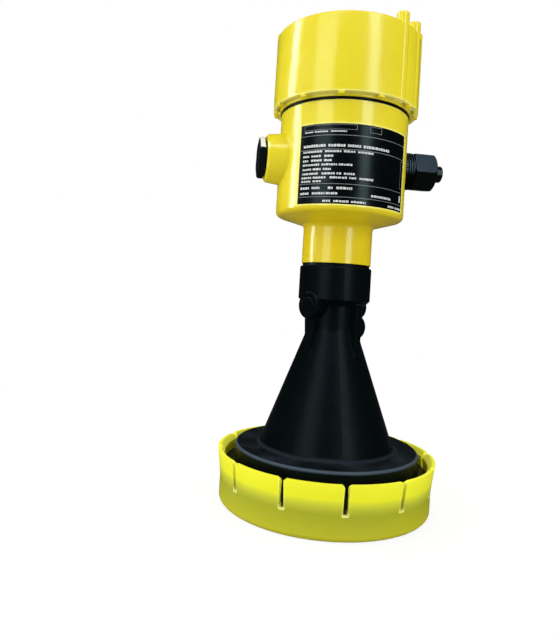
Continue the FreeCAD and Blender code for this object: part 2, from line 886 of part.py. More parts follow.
def retaining_ring():
    """Open spring ring in the spigot's groove, which holds the housing down."""
    body = new_body("retaining_ring")
    turn_profile(body, "ring", rectangle(
        (s.ring_inside, s.ring_groove_height),
        (s.ring_radius, s.ring_groove_height + s.ring_thickness),
    ), angle=as_size(360.0) - s.ring_gap_angle)
    return body


def waveguide_tube():
    """Metal tube that leads the microwaves from the source to the horn."""
    body = new_body("waveguide_tube")
    turn_profile(body, "tube", rectangle(
        (s.waveguide_radius - s.waveguide_wall, s.bore_foot),
        (s.waveguide_radius, s.waveguide_top),
    ))
    return body


def feed_cone():
    """Dielectric plug with a slim tip at the waveguide's mouth."""
    body = new_body("feed_cone")
    inside = s.waveguide_radius - s.waveguide_wall
    turn_profile(body, "feed", [
        (0, s.bore_foot - s.feed_tip_length),
        (s.feed_tip_radius, s.bore_foot - s.feed_tip_length),
        (inside, s.bore_foot),
        (inside, s.bore_foot + s.feed_base_length),
        (0, s.bore_foot + s.feed_base_length),
    ])
    return body


def microwave_module():
    """Microwave source: a flat can on the spigot with a stub down into the waveguide."""
    body = new_body("microwave_module")
    stub = s.waveguide_radius - s.waveguide_wall
    turn_profile(body, "can", [
        (0, s.spigot_top - s.source_stub_length),
        (stub, s.spigot_top - s.source_stub_length),
        (stub, s.spigot_top),
        (s.source_radius, s.spigot_top),
        (s.source_radius, s.spigot_top + s.source_height),
        (0, s.spigot_top + s.source_height),
    ])
    return body


def housing():
    """Housing moulding: neck, belly, body with label recess, plug boss and threaded collar."""
    body = new_body("housing")
    turn_profile(body, "housing_outside", [
        (0, s.neck_bottom),
        (s.neck_radius, s.neck_bottom),
        (s.neck_radius, s.belly_low),
        (s.body_radius, s.belly_high),
        (s.body_radius, s.shoulder_height),
        (s.thread_radius, s.shoulder_height),
        (s.thread_radius, s.thread_top),
        (0, s.thread_top),
    ])
    soften(body, "neck_round", "Fillet", s.neck_fillet, [(s.neck_radius, s.belly_low)])
    corner = [(s.body_radius, s.belly_high)]
    soften(body, "belly_round", "Fillet", s.belly_corner, corner)
    shoulder = [(s.body_radius, s.shoulder_height)]
    soften(body, "shoulder_round", "Fillet", s.shoulder_corner, shoulder)
    soften(body, "thread_end", "Chamfer", s.thread_lead, [(s.thread_radius, s.thread_top)])
    boss = new_sketch(body, "plug_boss_outline", "YZ_Plane", 0.0, -s.plug_boss_face)
    draw_circle(boss, 0, s.entry_height, s.plug_boss_radius)
    root = s.plug_boss_length + s.shoulder_width + s.thread_wall + SINK
    plug_boss = push(body, "plug_boss", boss, root)
    bind(plug_boss, "TaperAngle", s.plug_boss_draft)
    doc.recompute()
    soften(
        body, "plug_boss_rim", "Chamfer", s.plug_boss_chamfer,
        [(s.plug_boss_radius, s.plug_boss_face)], axis=LEFT,
    )
    turn_profile(body, "cavity", rectangle(
        (0, s.housing_floor), (s.cavity_radius, s.thread_top)
    ), cut=True)
    turn_profile(body, "neck_hole", rectangle(
        (0, s.neck_bottom), (s.neck_bore, s.housing_floor)
    ), cut=True)
    inner_start = s.cavity_radius - s.inner_boss_depth
    for name, bore, back in (
        ("plug_inner_boss", s.plug_bore_radius, True),
        ("gland_inner_boss", s.gland_bore_radius, False),
    ):
        lift = -inner_start if back else inner_start
        sketch = new_sketch(body, name + "_outline", "YZ_Plane", 0.0, lift)
        draw_circle(sketch, 0, s.entry_height, bore + s.inner_boss_wall)
        push(body, name, sketch, s.inner_boss_depth + OVERRUN, back=back)
    for name, bore, back in (
        ("plug_bore", s.plug_bore_radius, True),
        ("gland_bore", s.gland_bore_radius, False),
    ):
        lift = -(inner_start - OVERRUN) if back else inner_start - OVERRUN
        sketch = new_sketch(body, name + "_outline", "YZ_Plane", 0.0, lift)
        draw_circle(sketch, 0, s.entry_height, bore)
        push(body, name, sketch, s.plug_boss_face, back=back, cut=True)
    seat = new_sketch(body, "gland_seat_outline", "YZ_Plane", 0.0, s.gland_seat)
    draw_circle(seat, 0, s.entry_height, s.gland_seat_radius)
    push(body, "gland_seat_face", seat, s.gland_spot_depth + OVERRUN, cut=True)
    turn_profile(body, "label_recess", rectangle(
        (s.body_radius - s.label_depth, s.label_low), (s.body_radius + OVERRUN, s.label_high)
    ), angle=s.label_half_angle * 2, cut=True)
    turn_profile(body, "housing_stop", rectangle(
        (s.spigot_radius + s.stop_clearance, s.neck_bottom),
        (s.neck_bore + SINK, s.neck_bottom + s.stop_height),
    ), angle=s.stop_angle)
    screws = new_sketch(body, "module_screw_holes", "XY_Plane", 0.0, s.housing_floor)
    for side in (-1, 1):
        draw_circle(screws, 0, s.module_screw_place * side, s.screw_radius)
    push(body, "screw_holes", screws, s.screw_depth, back=True, cut=True)
    return body


def label_plate():
    """Thin curved plate in the housing's recess."""
    body = new_body("label_plate")
    inner = s.body_radius - s.label_depth + s.label_gap
    margin_angle = s.label_margin / s.body_radius * math.degrees(1.0)
    turn_profile(body, "plate", rectangle(
        (inner, s.label_low + s.label_margin),
        (inner + s.label_thickness, s.label_high - s.label_margin),
    ), angle=(s.label_half_angle - margin_angle) * 2)
    return body


def lid_seal():
    """Flat seal ring between the housing's shoulder and the lid's inner ring."""
    body = new_body("lid_seal")
    inner = s.thread_radius + s.lid_thread_gap
    turn_profile(body, "lid_seal_ring", rectangle(
        (inner, s.shoulder_height), (inner + s.lid_seal_width, s.lid_ring_low)
    ))
    return body


def lid():
    """Tall screw lid: inner thread ring, skirt with teeth, grip ribs that end as lugs."""
    body = new_body("lid")
    thread_inside = s.thread_radius + s.lid_thread_gap
    ring_outside = thread_inside + s.lid_ring_wall
    skirt_inside = s.lid_radius - s.skirt_wall
    top_radius = s.lid_radius - s.lid_draft
    room = top_radius - s.lid_wall
    thread_end = s.thread_top + s.lid_thread_room
    turn_profile(body, "lid_outside", [
        (0, s.lid_ring_low),
        (ring_outside, s.lid_ring_low),
        (ring_outside, s.lid_low),
        (s.lid_radius, s.lid_low),
        (top_radius, s.lid_top),
        (0, s.lid_top),
    ])
    soften(body, "lid_rim_round", "Fillet", s.lid_edge, [(top_radius, s.lid_top)])
    tooth = turn_profile(body, "tooth", rectangle(
        (skirt_inside, s.tooth_low), (s.lid_radius - s.tooth_inset, s.lid_low + SINK)
    ), angle=s.tooth_angle, azimuth=s.tooth_azimuth)
    repeat_round(body, "teeth", tooth, s.tooth_count)
    lug_top = s.lid_top + s.lug_height
    for side in (0, 180):
        for k in range(GRIP_COUNT):
            turn = s.grip_azimuth + s.grip_pitch * k + FRONT + side
            sketch = new_sketch(body, f"grip_{k}_{side}_outline", "XY_Plane", turn, s.lid_low)
            draw_circle(sketch, s.grip_circle, 0, s.grip_radius)
            push(body, f"grip_{k}_{side}", sketch, lug_top - s.lid_low)
    soften(body, "lug_round", "Fillet", s.lug_edge, [(s.grip_radius, lug_top)])
    turn_profile(body, "lid_room", [
        (0, s.lid_ring_low),
        (thread_inside, s.lid_ring_low),
        (thread_inside, thread_end),
        (room, thread_end + (room - thread_inside)),
        (room, s.lid_top - s.lid_plate),
        (0, s.lid_top - s.lid_plate),
    ], cut=True)
    turn_profile(body, "lid_groove", rectangle(
        (ring_outside, s.lid_low), (skirt_inside, s.lid_low + s.lid_groove_height)
    ), cut=True)
    return body


def plug_gasket():
    """Flat seal ring under the blanking plug's head."""
    body = new_body("plug_gasket")
    turn_profile(body, "gasket", rectangle(
        (s.plug_bore_radius + s.gasket_gap, s.plug_boss_face),
        (s.gasket_radius, s.plug_boss_face + s.gasket_thickness),
    ))
    point_sideways(body, LEFT)
    return body


def blanking_plug():
    """Hexagon screw plug, hollow from the inside."""
    body = new_body("blanking_plug")
    start = s.plug_head_start
    corner = s.plug_flats / math.sqrt(3)
    shank = s.plug_bore_radius - s.plug_shank_gap
    turn_profile(body, "plug_blank", [
        (0, start),
        (shank - s.plug_wall, start),
        (shank - s.plug_wall, start - s.plug_shank_length),
        (shank, start - s.plug_shank_length),
        (shank, start),
        (corner, start),
        (corner, start + s.plug_head),
        (0, start + s.plug_head),
    ])
    rim = [(corner, start + s.plug_head)]
    soften(body, "plug_rim", "Chamfer", s.plug_edge, rim)
    cut_flats(body, "plug_flats", s.plug_flats, corner, PLUG_TURN, start, s.plug_head + OVERRUN)
    point_sideways(body, LEFT)
    return body


def plug_sticker():
    """Thin sticker on one of the plug's upper flats."""
    sticker = doc.addObject("Part::Box", "plug_sticker")
    bind(sticker, "Length", s.sticker_width)
    bind(sticker, "Width", s.sticker_length)
    bind(sticker, "Height", s.sticker_thickness)
    # The flat with the sticker looks up and to the front.
    lean = 90.0 - PLUG_TURN
    tilt = Rotation(RIGHT, lean)
    middle = s.plug_head_start + s.plug_head / 2
    sticker.Placement = Placement(Vector(), tilt)
    reach = s.plug_flats / 2
    bind(sticker, "Placement.Base.x", -(middle + s.sticker_width / 2))
    bind(sticker, "Placement.Base.y", -(reach * sine(lean) + s.sticker_length / 2 * cosine(lean)))
    height = reach * cosine(lean) - s.sticker_length / 2 * sine(lean)
    bind(sticker, "Placement.Base.z", s.entry_height + height)
    return sticker


def gland_washer():
    """Flat seal ring between the housing and the gland's body."""
    body = new_body("gland_washer")
    turn_profile(body, "washer", rectangle(
        (s.gland_bore_radius, s.gland_seat),
        (s.washer_radius, s.gland_seat + s.washer_thickness),
    ))
    point_sideways(body, RIGHT)
    return body


def gland_body():
    """Cable gland's body: inner thread, serrated ring, ridged stem and mouth for the nut."""
    body = new_body("gland_body")
    pitch = s.gland_stem_length / (RIDGE_COUNT + 0.25)
    outside = [(s.gland_bore, s.gland_seat - s.gland_thread_length)]
    thread = s.gland_bore_radius - s.gland_thread_gap
    outside += [
        (thread, s.gland_seat - s.gland_thread_length),
        (thread, s.gland_ring_start),
        (s.washer_radius, s.gland_ring_start),
        (s.washer_radius, s.gland_ring_end),
    ]
    for k in range(RIDGE_COUNT):
        ridge = s.gland_ring_end + pitch * (k + 0.35)
        outside += [
            (s.gland_stem_radius, ridge),
            (s.gland_ridge_radius, ridge + pitch * 0.15),
            (s.gland_ridge_radius, ridge + pitch * 0.4),
            (s.gland_stem_radius, ridge + pitch * 0.55),
        ]
    mouth_end = s.gland_face + s.gland_mouth_length
    outside += [
        (s.gland_stem_radius, s.gland_face),
        (s.gland_mouth_radius, s.gland_face),
        (s.gland_mouth_radius, mouth_end),
        (s.insert_radius, mouth_end),
        (s.insert_radius, mouth_end - s.gland_seat_depth),
        (s.gland_bore, mouth_end - s.gland_seat_depth),
    ]
    turn_profile(body, "gland_shape", outside)
    notch = new_sketch(body, "serration_outline", "XY_Plane", 0.0, s.gland_ring_start)
    draw_outline(notch, [
        (s.washer_radius - s.gland_ring_depth, 0),
        (s.washer_radius + SINK, -s.gland_ring_depth * 1.2),
        (s.washer_radius + SINK, s.gland_ring_depth * 1.2),
    ])
    serration = push(body, "serration", notch, s.gland_ring_length, cut=True)
    repeat_round(body, "serrations", serration, s.gland_ring_teeth)
    point_sideways(body, RIGHT)
    return body


def gland_insert():
    """Rubber seal that the nut presses round the cable, held by its flange in the mouth."""
    body = new_body("gland_insert")
    mouth_end = s.gland_face + s.gland_mouth_length
    start = mouth_end - s.gland_seat_depth + s.insert_gap
    flange_start = mouth_end + s.insert_gap
    outer = s.insert_radius - s.insert_gap
    turn_profile(body, "insert", [
        (s.insert_hole, start),
        (outer, start),
        (outer, flange_start),
        (s.insert_flange_radius, flange_start),
        (s.insert_flange_radius, flange_start + s.insert_flange),
        (s.insert_hole, flange_start + s.insert_flange),
    ])
    point_sideways(body, RIGHT)
    return body


def gland_nut():
    """Domed hexagon cap nut of the gland."""
    body = new_body("gland_nut")
    corner = s.nut_flats / math.sqrt(3)
    inside = s.gland_mouth_radius + s.nut_thread_gap
    web = s.nut_end - s.nut_web
    turn_profile(body, "nut_blank", [
        (inside, s.nut_start),
        (corner, s.nut_start),
        (corner, s.nut_end),
        (s.gland_bore, s.nut_end),
        (s.gland_bore, web),
        (inside, web),
    ])
    soften(body, "nut_dome", "Fillet", s.nut_round, [(corner, s.nut_end)])
    length = s.nut_length + OVERRUN
    cut_flats(body, "nut_sides", s.nut_flats, corner, NUT_TURN, s.nut_start, length)
    point_sideways(body, RIGHT)
    return body


def dust_plug():
    """Dust plug that closes the gland until a cable is fitted."""
    body = new_body("dust_plug")
    pin = s.insert_hole - s.dust_pin_gap
    head_start = s.nut_end
    turn_profile(body, "plug_shape", [
        (0, head_start - s.dust_pin_length),
        (pin, head_start - s.dust_pin_length),
        (pin, head_start),
        (s.dust_head_radius, head_start),
        (s.dust_head_radius, s.dust_head_end),
        (0, s.dust_head_end),
    ])
    soften(
        body, "head_rim", "Fillet", s.dust_head_edge, [(s.dust_head_radius, s.dust_head_end)]
    )
    point_sideways(body, RIGHT)
    return body


def module_base():
    """Round base plate of the electronics module."""
    body = new_body("module_base")
    outer = s.cavity_radius - s.module_base_gap
    turn_profile(body, "base_disc", rectangle((0, s.housing_floor), (outer, s.module_top)))
    holes = new_sketch(body, "base_screw_holes", "XY_Plane", 0.0, s.housing_floor)
    for side in (-1, 1):
        draw_circle(holes, 0, s.module_screw_place * side, s.screw_radius)
    push(body, "screw_clearance", holes, s.module_base_height, cut=True)
    return body


def module_case():
    """Box-shaped case of the electronics, open at its foot."""
    half_width = s.case_width / 2
    half_depth = s.case_half_depth
    body = new_body("module_case")
    sketch = new_sketch(body, "case_outline", "XY_Plane", 0.0, s.module_top)
    corner = s.case_corner
    draw_outline(sketch, [
        (-half_width + corner, -half_depth),
        (half_width - corner, -half_depth),
        (half_width, -half_depth + corner),
        (half_width, half_depth - corner),
        (half_width - corner, half_depth),
        (-half_width + corner, half_depth),
        (-half_width, half_depth - corner),
        (-half_width, -half_depth + corner),
    ])
    push(body, "case_block", sketch, s.case_height)
    room = new_sketch(body, "case_room_outline", "XY_Plane", 0.0, s.module_top)
    inner_width = half_width - s.case_wall
    inner_depth = half_depth - s.case_wall
    draw_outline(room, [
        (-inner_width + corner, -inner_depth),
        (inner_width - corner, -inner_depth),
        (inner_width, -inner_depth + corner),
        (inner_width, inner_depth - corner),
        (inner_width - corner, inner_depth),
        (-inner_width + corner, inner_depth),
        (-inner_width, inner_depth - corner),
        (-inner_width, -inner_depth + corner),
    ])
    push(body, "case_room", room, s.case_height - s.case_wall, cut=True)
    return body


def main_board():
    """Circuit board that stands on the base plate inside the case."""
    half = s.board_width / 2
    return make_box(
        "main_board",
        (-half, s.board_place, s.module_top),
        (half, s.board_place + s.board_thickness, s.module_top + s.board_height),
    )


def board_components():
    """Larger components on the front of the circuit board."""
    blocks = []
    for name, thickness, (left, right, low, high) in (
        ("processor", s.processor_thickness, PROCESSOR_PLACE),
        ("converter", s.converter_thickness, CONVERTER_PLACE),
        ("filter_coil", s.coil_thickness, COIL_PLACE),
    ):
        blocks.append(make_box(
            name,
            (s.board_width * left, s.board_place - thickness, s.module_top + s.board_height * low),
            (s.board_width * right, s.board_place, s.module_top + s.board_height * high),
        ))
    return group_of("board_components", blocks)


def slotted_screw(name, radius, length, head_radius, head_height, place):
    """A screw with a slotted head whose underside is at the given place."""
    x, y, z = place
    shank = make_cylinder(name + "_shank", radius, length, (x, y, as_size(z) - length))
    head = make_cylinder(name + "_head", head_radius, head_height, place)
    whole = fuse(name + "_blank", [shank, head])
    half = s.screw_slot / 2
    slot = make_box(
        name + "_slot",
        (as_size(x) - head_radius, as_size(y) - half, as_size(z) + head_height / 2),
        (as_size(x) + head_radius, as_size(y) + half, as_size(z) + head_height + SINK),
    )
    return cut_away(name, whole, [slot])


def module_screws():
    """Screws that hold the base plate to the housing's floor."""
    length = s.module_base_height + s.screw_depth
    screws = []
    for name, side in (("front_module_screw", -1), ("rear_module_screw", 1)):
        place = (0, s.module_screw_place * side, s.module_top)
        screws.append(slotted_screw(
            name, s.screw_radius, length, s.screw_head_radius, s.screw_head_height, place
        ))
    return group_of("module_screws", screws)


def terminal_places():
    """Places of the terminals' screws, left to right."""
    count = int(s.terminal_count.value)
    middle = s.terminal_front + s.terminal_depth * 0.6
    return [(s.terminal_pitch * (k - (count - 1) / 2), middle) for k in range(count)]


def terminal_block():
    """Screw terminal block on the front half of the case."""
    half = s.terminal_width / 2
    top = s.case_top + s.terminal_height
    block = make_box(
        "terminal_blank",
        (-half, s.terminal_front, s.case_top),
        (half, s.terminal_front + s.terminal_depth, top),
    )
    tools = []
    for k, (x, y) in enumerate(terminal_places()):
        radius = s.terminal_screw_radius
        well = s.terminal_screw_height + s.terminal_well
        tools.append(make_cylinder(f"well_{k}", radius, well, (x, y, top - well)))
        half_hole = s.terminal_hole / 2
        hole_low = s.case_top + s.terminal_hole_lift
        hole_end = s.terminal_front + s.terminal_hole_depth
        tools.append(make_box(
            f"wire_hole_{k}",
            (x - half_hole, s.terminal_front - SINK, hole_low),
            (x + half_hole, hole_end, hole_low + s.terminal_hole),
        ))
    return cut_away("terminal_block", block, tools)


def terminal_screws():
    """Slotted clamping screws in the wells of the terminal block."""
    foot = s.case_top + s.terminal_height - s.terminal_screw_height - s.terminal_well
    head_top = foot + s.terminal_screw_height
    half_slot = s.clamp_slot_width / 2
    screws = []
    for k, (x, y) in enumerate(terminal_places()):
        head = make_cylinder(
            f"clamp_{k}", s.terminal_screw_radius, s.terminal_screw_height, (x, y, foot)
        )
        slot = make_box(
            f"clamp_slot_{k}",
            (x - s.terminal_screw_radius, y - half_slot, head_top - s.clamp_slot_depth),
            (x + s.terminal_screw_radius, y + half_slot, head_top + SINK),
        )
        screws.append(cut_away(f"clamp_screw_{k}", head, [slot]))
    return group_of("terminal_screws", screws)


def contact_carrier():
    """Small block that carries the contact pins for a display."""
    half = s.carrier_width / 2
    return make_box(
        "contact_carrier",
        (-half, s.carrier_place, s.case_top),
        (half, s.carrier_place + s.carrier_depth, s.case_top + s.carrier_height),
    )


def contact_pins():
    """Contact pins for a plug-in display."""
    count = int(s.pin_count.value)
    foot = s.case_top + s.carrier_height
    middle = s.carrier_place + s.carrier_depth / 2
    pins = []
    for k in range(count):
        x = s.pin_pitch * (k - (count - 1) / 2)
        pins.append(make_cylinder(f"pin_{k}", s.pin_radius, s.pin_length, (x, middle, foot)))
    return group_of("contact_pins", pins)


doc = FreeCAD.newDocument("radar_level_transmitter")
s = make_sheet([
    CAP_SIZES, ANTENNA_SIZES, SWIVEL_SIZES, HOUSING_SIZES, LID_SIZES, ENTRY_SIZES, MODULE_SIZES,
], FOLLOWING_SIZES)

BUILDERS = [
    protective_cap, antenna_lens, lens_seal, horn_antenna, boss_plugs, neck_seal,
    bearing_sleeve, retaining_ring, waveguide_tube, feed_cone, microwave_module,
    housing, label_plate, lid_seal, lid,
    plug_gasket, blanking_plug, plug_sticker,
    gland_washer, gland_body, gland_insert, gland_nut, dust_plug,
    module_base, module_case, main_board, board_components, module_screws,
    terminal_block, terminal_screws, contact_carrier, contact_pins,
]

pieces = []
for builder in BUILDERS:
    piece = builder()
    piece.Label = builder.__name__
    pieces.append(piece)
doc.recompute()

failed = [item.Name for item in doc.Objects if {"Invalid", "Error"} & set(item.State)]
if failed:
    raise RuntimeError("failed objects: " + ", ".join(failed))
for piece in pieces:
    if piece.Shape.isNull() or not piece.Shape.isValid():
        raise RuntimeError("bad shape: " + piece.Label)

os.makedirs("parts", exist_ok=True)
for piece in pieces:
    piece.Shape.exportStep(f"parts/{piece.Label}.step")
    print(f"{piece.Label}: {len(piece.Shape.Solids)} solid(s), {piece.Shape.Volume:.0f} mm3")
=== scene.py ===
"""Looks of the radar level transmitter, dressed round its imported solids.

Mesh data is in millimetres until add_piece makes a mesh of it. All other lengths are in metres.
"""

import json
import math
import random

import bmesh
import bpy
from mathutils import Matrix, Vector


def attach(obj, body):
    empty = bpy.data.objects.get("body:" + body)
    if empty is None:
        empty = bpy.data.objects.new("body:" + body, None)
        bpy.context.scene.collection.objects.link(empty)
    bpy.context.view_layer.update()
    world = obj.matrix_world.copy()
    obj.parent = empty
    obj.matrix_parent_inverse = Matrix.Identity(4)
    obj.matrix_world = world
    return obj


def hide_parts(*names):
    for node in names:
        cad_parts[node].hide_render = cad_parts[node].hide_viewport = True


MM = 0.001

# The photograph's camera, solved from the circles of lid, housing, collar and cap.
PHOTO_WIDTH, PHOTO_HEIGHT = 559, 640
FOCAL_PIXELS = 564.19
CENTRE_PIXEL = (275.63, 284.70)
CAMERA_DISTANCE = 313.95 * MM
CAMERA_HEIGHT = 110.47 * MM
CAMERA_AZIMUTH = -14.25
CAMERA_YAW, CAMERA_PITCH, CAMERA_ROLL = 0.1041, 0.0168, -0.0601
SENSOR_WIDTH = 36.0
NEAREST_SEEN = 0.01

WHITE = (1.0, 1.0, 1.0, 1.0)
BLACK = (0.0, 0.0, 0.0, 1.0)

# The range that most of a noise's values lie in.
NOISE_RANGE = (0.3, 0.7)

# Heights between which a material changes: the painted shade at the neck, the painted highlights
# on the housing's edges and on the flange's rim, and the cap's height, over which its painted
# light changes.
NECK_SHADE_BLEND = (150 * MM, 162 * MM)
HOUSING_EDGE_HIGHLIGHTS = (208 * MM, 213 * MM)
FLANGE_HIGHLIGHT_ZONE = (26 * MM, 34 * MM)
CAP_HEIGHT = 27.0 * MM

# The cap's slots: number, azimuth of the first, distance round the wall, half width, foot.
SLOT_COUNT = 12
SLOT_AZIMUTH = -3.3
SLOT_PITCH = 30.5 * MM
SLOT_HALF_WIDTH = 1.15 * MM
SLOT_FOOT = 12.5 * MM
# A length beyond the reach of any slot's edge, at which its masks end.
SLOT_FAR = 10.0 * MM
# Painted glow at the slots: where a slot's pale edge fades, how high its bright foot is, and its
# strength above that.
GLOW_FADE = (0.35 * MM, 0.8 * MM)
GLOW_FOOT, GLOW_ABOVE = 2.0 * MM, 0.16
# Painted shade inside the slots: half widths between which the dark inside of a slot ends, and
# the height in which it begins.
DARK_SIDE = (1.08 * MM, 1.13 * MM)
DARK_FOOT = 0.1 * MM

# How far the rounding of an edge reaches for the painted edge highlights on the small parts and
# on the horn, and the strength of the horn's painted edge highlight.
EDGE_REACH = 0.5 * MM
HORN_EDGE_REACH = 0.4 * MM
HORN_EDGE_HIGHLIGHT = 0.26
# Cosine of an edge's bend, and height of its normal, between which its painted highlight comes
# and goes.
EDGE_BEND = (0.84, 0.98)
EDGE_UP = (-0.1, 0.4)


def linear(red, green, blue):
    """Linear colour of an 8-bit screen colour."""
    def one(value):
        value /= 255
        return value / 12.92 if value <= 0.04045 else ((value + 0.055) / 1.055) ** 2.4
    return (one(red), one(green), one(blue), 1.0)


def grey(value):
    """Grey of a linear value."""
    return (value, value, value, 1.0)


def direction(azimuth):
    """Horizontal direction at an azimuth counted from the front, -Y, towards +X."""
    angle = math.radians(azimuth)
    return Vector((math.sin(angle), -math.cos(angle), 0))


class Nodes:
    """Short way to build the node tree of a material or of the world."""

    def __init__(self, owner, output="ShaderNodeOutputMaterial"):
        owner.use_nodes = True
        self.tree = owner.node_tree
        self.tree.nodes.clear()
        self.output = self.add(output)

    def add(self, kind, values=None, **settings):
        """Adds a node, sets its properties and its unlinked inputs."""
        node = self.tree.nodes.new(kind)
        for name, value in settings.items():
            setattr(node, name, value)
        for name, value in (values or {}).items():
            node.inputs[name].default_value = value
        return node

    def link(self, source, target):
        self.tree.links.new(source, target)

    def coords(self):
        """The object's own coordinates."""
        return self.add("ShaderNodeTexCoord").outputs["Object"]

    def split(self, vector):
        """Outputs X, Y and Z of a vector."""
        node = self.add("ShaderNodeSeparateXYZ")
        self.link(vector, node.inputs["Vector"])
        return node.outputs

    def math(self, operation, *values):
        """Math on outputs and plain numbers."""
        node = self.add("ShaderNodeMath", operation=operation)
        for value, socket in zip(values, node.inputs):
            if isinstance(value, (int, float)):
                socket.default_value = value
            else:
                self.link(value, socket)
        return node.outputs["Value"]

    def mix(self, factor, first, second):
        """Mix of two colours, each linked or plain."""
        node = self.add("ShaderNodeMix", data_type="RGBA")
        self.link(factor, node.inputs["Factor"])
        for colour, socket in ((first, node.inputs["A"]), (second, node.inputs["B"])):
            if isinstance(colour, tuple):
                socket.default_value = colour
            else:
                self.link(colour, socket)
        return node.outputs["Result"]

    def blend(self, factor, first, second):
        """Mix of two shaders."""
        node = self.add("ShaderNodeMixShader")
        self.link(factor, node.inputs["Fac"])
        self.link(first, node.inputs[1])
        self.link(second, node.inputs[2])
        return node.outputs["Shader"]

    def noise(self, scale, detail=3.0, roughness=0.5):
        """Noise in object space, scaled in cycles per metre."""
        node = self.add(
            "ShaderNodeTexNoise", {"Scale": scale, "Detail": detail, "Roughness": roughness}
        )
        self.link(self.coords(), node.inputs["Vector"])
        return node.outputs["Fac"]

    def ramp(self, source, stops):
        """Colour ramp over a value."""
        node = self.add("ShaderNodeValToRGB")
        self.link(source, node.inputs["Fac"])
        elements = node.color_ramp.elements
        while len(elements) < len(stops):
            elements.new(0.5)
        for element, (place, colour) in zip(elements, stops):
            element.position = place
            element.color = colour
        return node.outputs["Color"]

    def span(self, source, low, high, to_low, to_high):
        """Maps a value from one range to another, clamped."""
        node = self.add("ShaderNodeMapRange", {
            "From Min": low, "From Max": high, "To Min": to_low, "To Max": to_high,
        })
        self.link(source, node.inputs["Value"])
        return node.outputs["Result"]

    def tint(self, noise, first, second):
        """Colour that wanders between two with a noise."""
        return self.ramp(noise, list(zip(NOISE_RANGE, (first, second))))

    def uneven(self, noise, low, high):
        """Value that wanders between two with a noise."""
        return self.span(noise, *NOISE_RANGE, low, high)

    def bump(self, height, strength, distance, over=None):
        """Normal bent by a height, on top of another bend if one is given."""
        node = self.add("ShaderNodeBump", {"Strength": strength, "Distance": distance})
        self.link(height, node.inputs["Height"])
        if over:
            self.link(over, node.inputs["Normal"])
        return node.outputs["Normal"]

    def finish(self, shader, colour, roughness, normal):
        """Links a shader's colour, roughness and normal, and the shader to the output."""
        self.link(colour, shader.inputs["Base Color"])
        self.link(roughness, shader.inputs["Roughness"])
        self.link(normal, shader.inputs["Normal"])
        self.link(shader.outputs["BSDF"], self.output.inputs["Surface"])


def edge_mask(nodes, reach):
    """Mask of the painted edge highlights: 1 on edges that look up, 0 on faces and on edges that
    look down.
    """
    bevel = nodes.add("ShaderNodeBevel", {"Radius": reach}, samples=6).outputs["Normal"]
    bent = nodes.add("ShaderNodeVectorMath", operation="DOT_PRODUCT")
    nodes.link(bevel, bent.inputs[0])
    nodes.link(nodes.add("ShaderNodeNewGeometry").outputs["Normal"], bent.inputs[1])
    return nodes.math(
        "MULTIPLY",
        nodes.span(bent.outputs["Value"], *EDGE_BEND, 1.0, 0.0),
        nodes.span(nodes.split(bevel)["Z"], *EDGE_UP, 0.0, 1.0),
    )


def plastic(name, colour, shade, roughness, grain=900.0, grain_depth=0.02, edges=None, **sockets):
    """Moulded plastic: slight colour clouds, uneven gloss, a fine grain and, if given, a painted
    highlight on edges that look up.
    """
    material = bpy.data.materials.new(name)
    nodes = Nodes(material)
    shader = nodes.add("ShaderNodeBsdfPrincipled", {
        key.replace("_", " "): value for key, value in sockets.items()
    })
    clouded = nodes.tint(nodes.noise(38.0, 4.0), shade, colour)
    # The edges colour is a painted highlight on edges that look up.
    if edges:
        clouded = nodes.mix(edge_mask(nodes, EDGE_REACH), clouded, edges)
    nodes.finish(
        shader, clouded,
        nodes.uneven(nodes.noise(160.0, 5.0, 0.6), *roughness),
        nodes.bump(nodes.noise(grain, 2.0), grain_depth, 0.4 * MM),
    )
    return material


def metal(name, colour, roughness):
    """Turned or drawn metal with fine scratches."""
    material = bpy.data.materials.new(name)
    nodes = Nodes(material)
    shader = nodes.add("ShaderNodeBsdfPrincipled", {"Metallic": 1.0})
    scratches = nodes.noise(2500.0, 3.0)
    dull = tuple(0.82 * channel for channel in colour[:3]) + (1.0,)
    nodes.finish(
        shader, nodes.tint(scratches, dull, colour),
        nodes.uneven(scratches, *roughness),
        nodes.bump(scratches, 0.05, 0.1 * MM),
    )
    return material


def housing_material():
    """Glossy yellow plastic with slow waves in the surface that bend the light streaks."""
    material = bpy.data.materials.new("housing_yellow")
    nodes = Nodes(material)
    shader = nodes.add("ShaderNodeBsdfPrincipled", {"Specular IOR Level": 0.39})
    clouds = nodes.noise(26.0, 4.0)
    pale = nodes.tint(clouds, linear(226, 209, 38), linear(233, 216, 46))
    deep = nodes.tint(clouds, linear(216, 190, 20), linear(223, 198, 26))
    height = nodes.split(nodes.coords())["Z"]
    # Painted shade: the colour is a trace deeper and warmer at the neck, where less light falls
    # than on lid and body.
    neck_shaded = nodes.mix(nodes.span(height, *NECK_SHADE_BLEND, 0.0, 1.0), deep, pale)
    # Painted highlights: the rounded edges at the skirt's foot and on the shoulder are painted
    # paler.
    edge = nodes.ramp(nodes.span(height, *HOUSING_EDGE_HIGHLIGHTS, 0.0, 1.0), [
        (0.0, BLACK), (0.08, BLACK), (0.16, WHITE), (0.25, BLACK),
        (0.70, BLACK), (0.76, WHITE), (0.83, WHITE), (0.9, BLACK),
    ])
    broad = nodes.bump(nodes.noise(75.0, 2.0), 0.4, 0.5 * MM)
    nodes.finish(
        shader, nodes.mix(edge, neck_shaded, linear(250, 243, 130)),
        nodes.uneven(nodes.noise(120.0, 5.0, 0.6), 0.14, 0.22),
        nodes.bump(nodes.noise(300.0, 3.0), 0.1, 0.4 * MM, over=broad),
    )
    return material


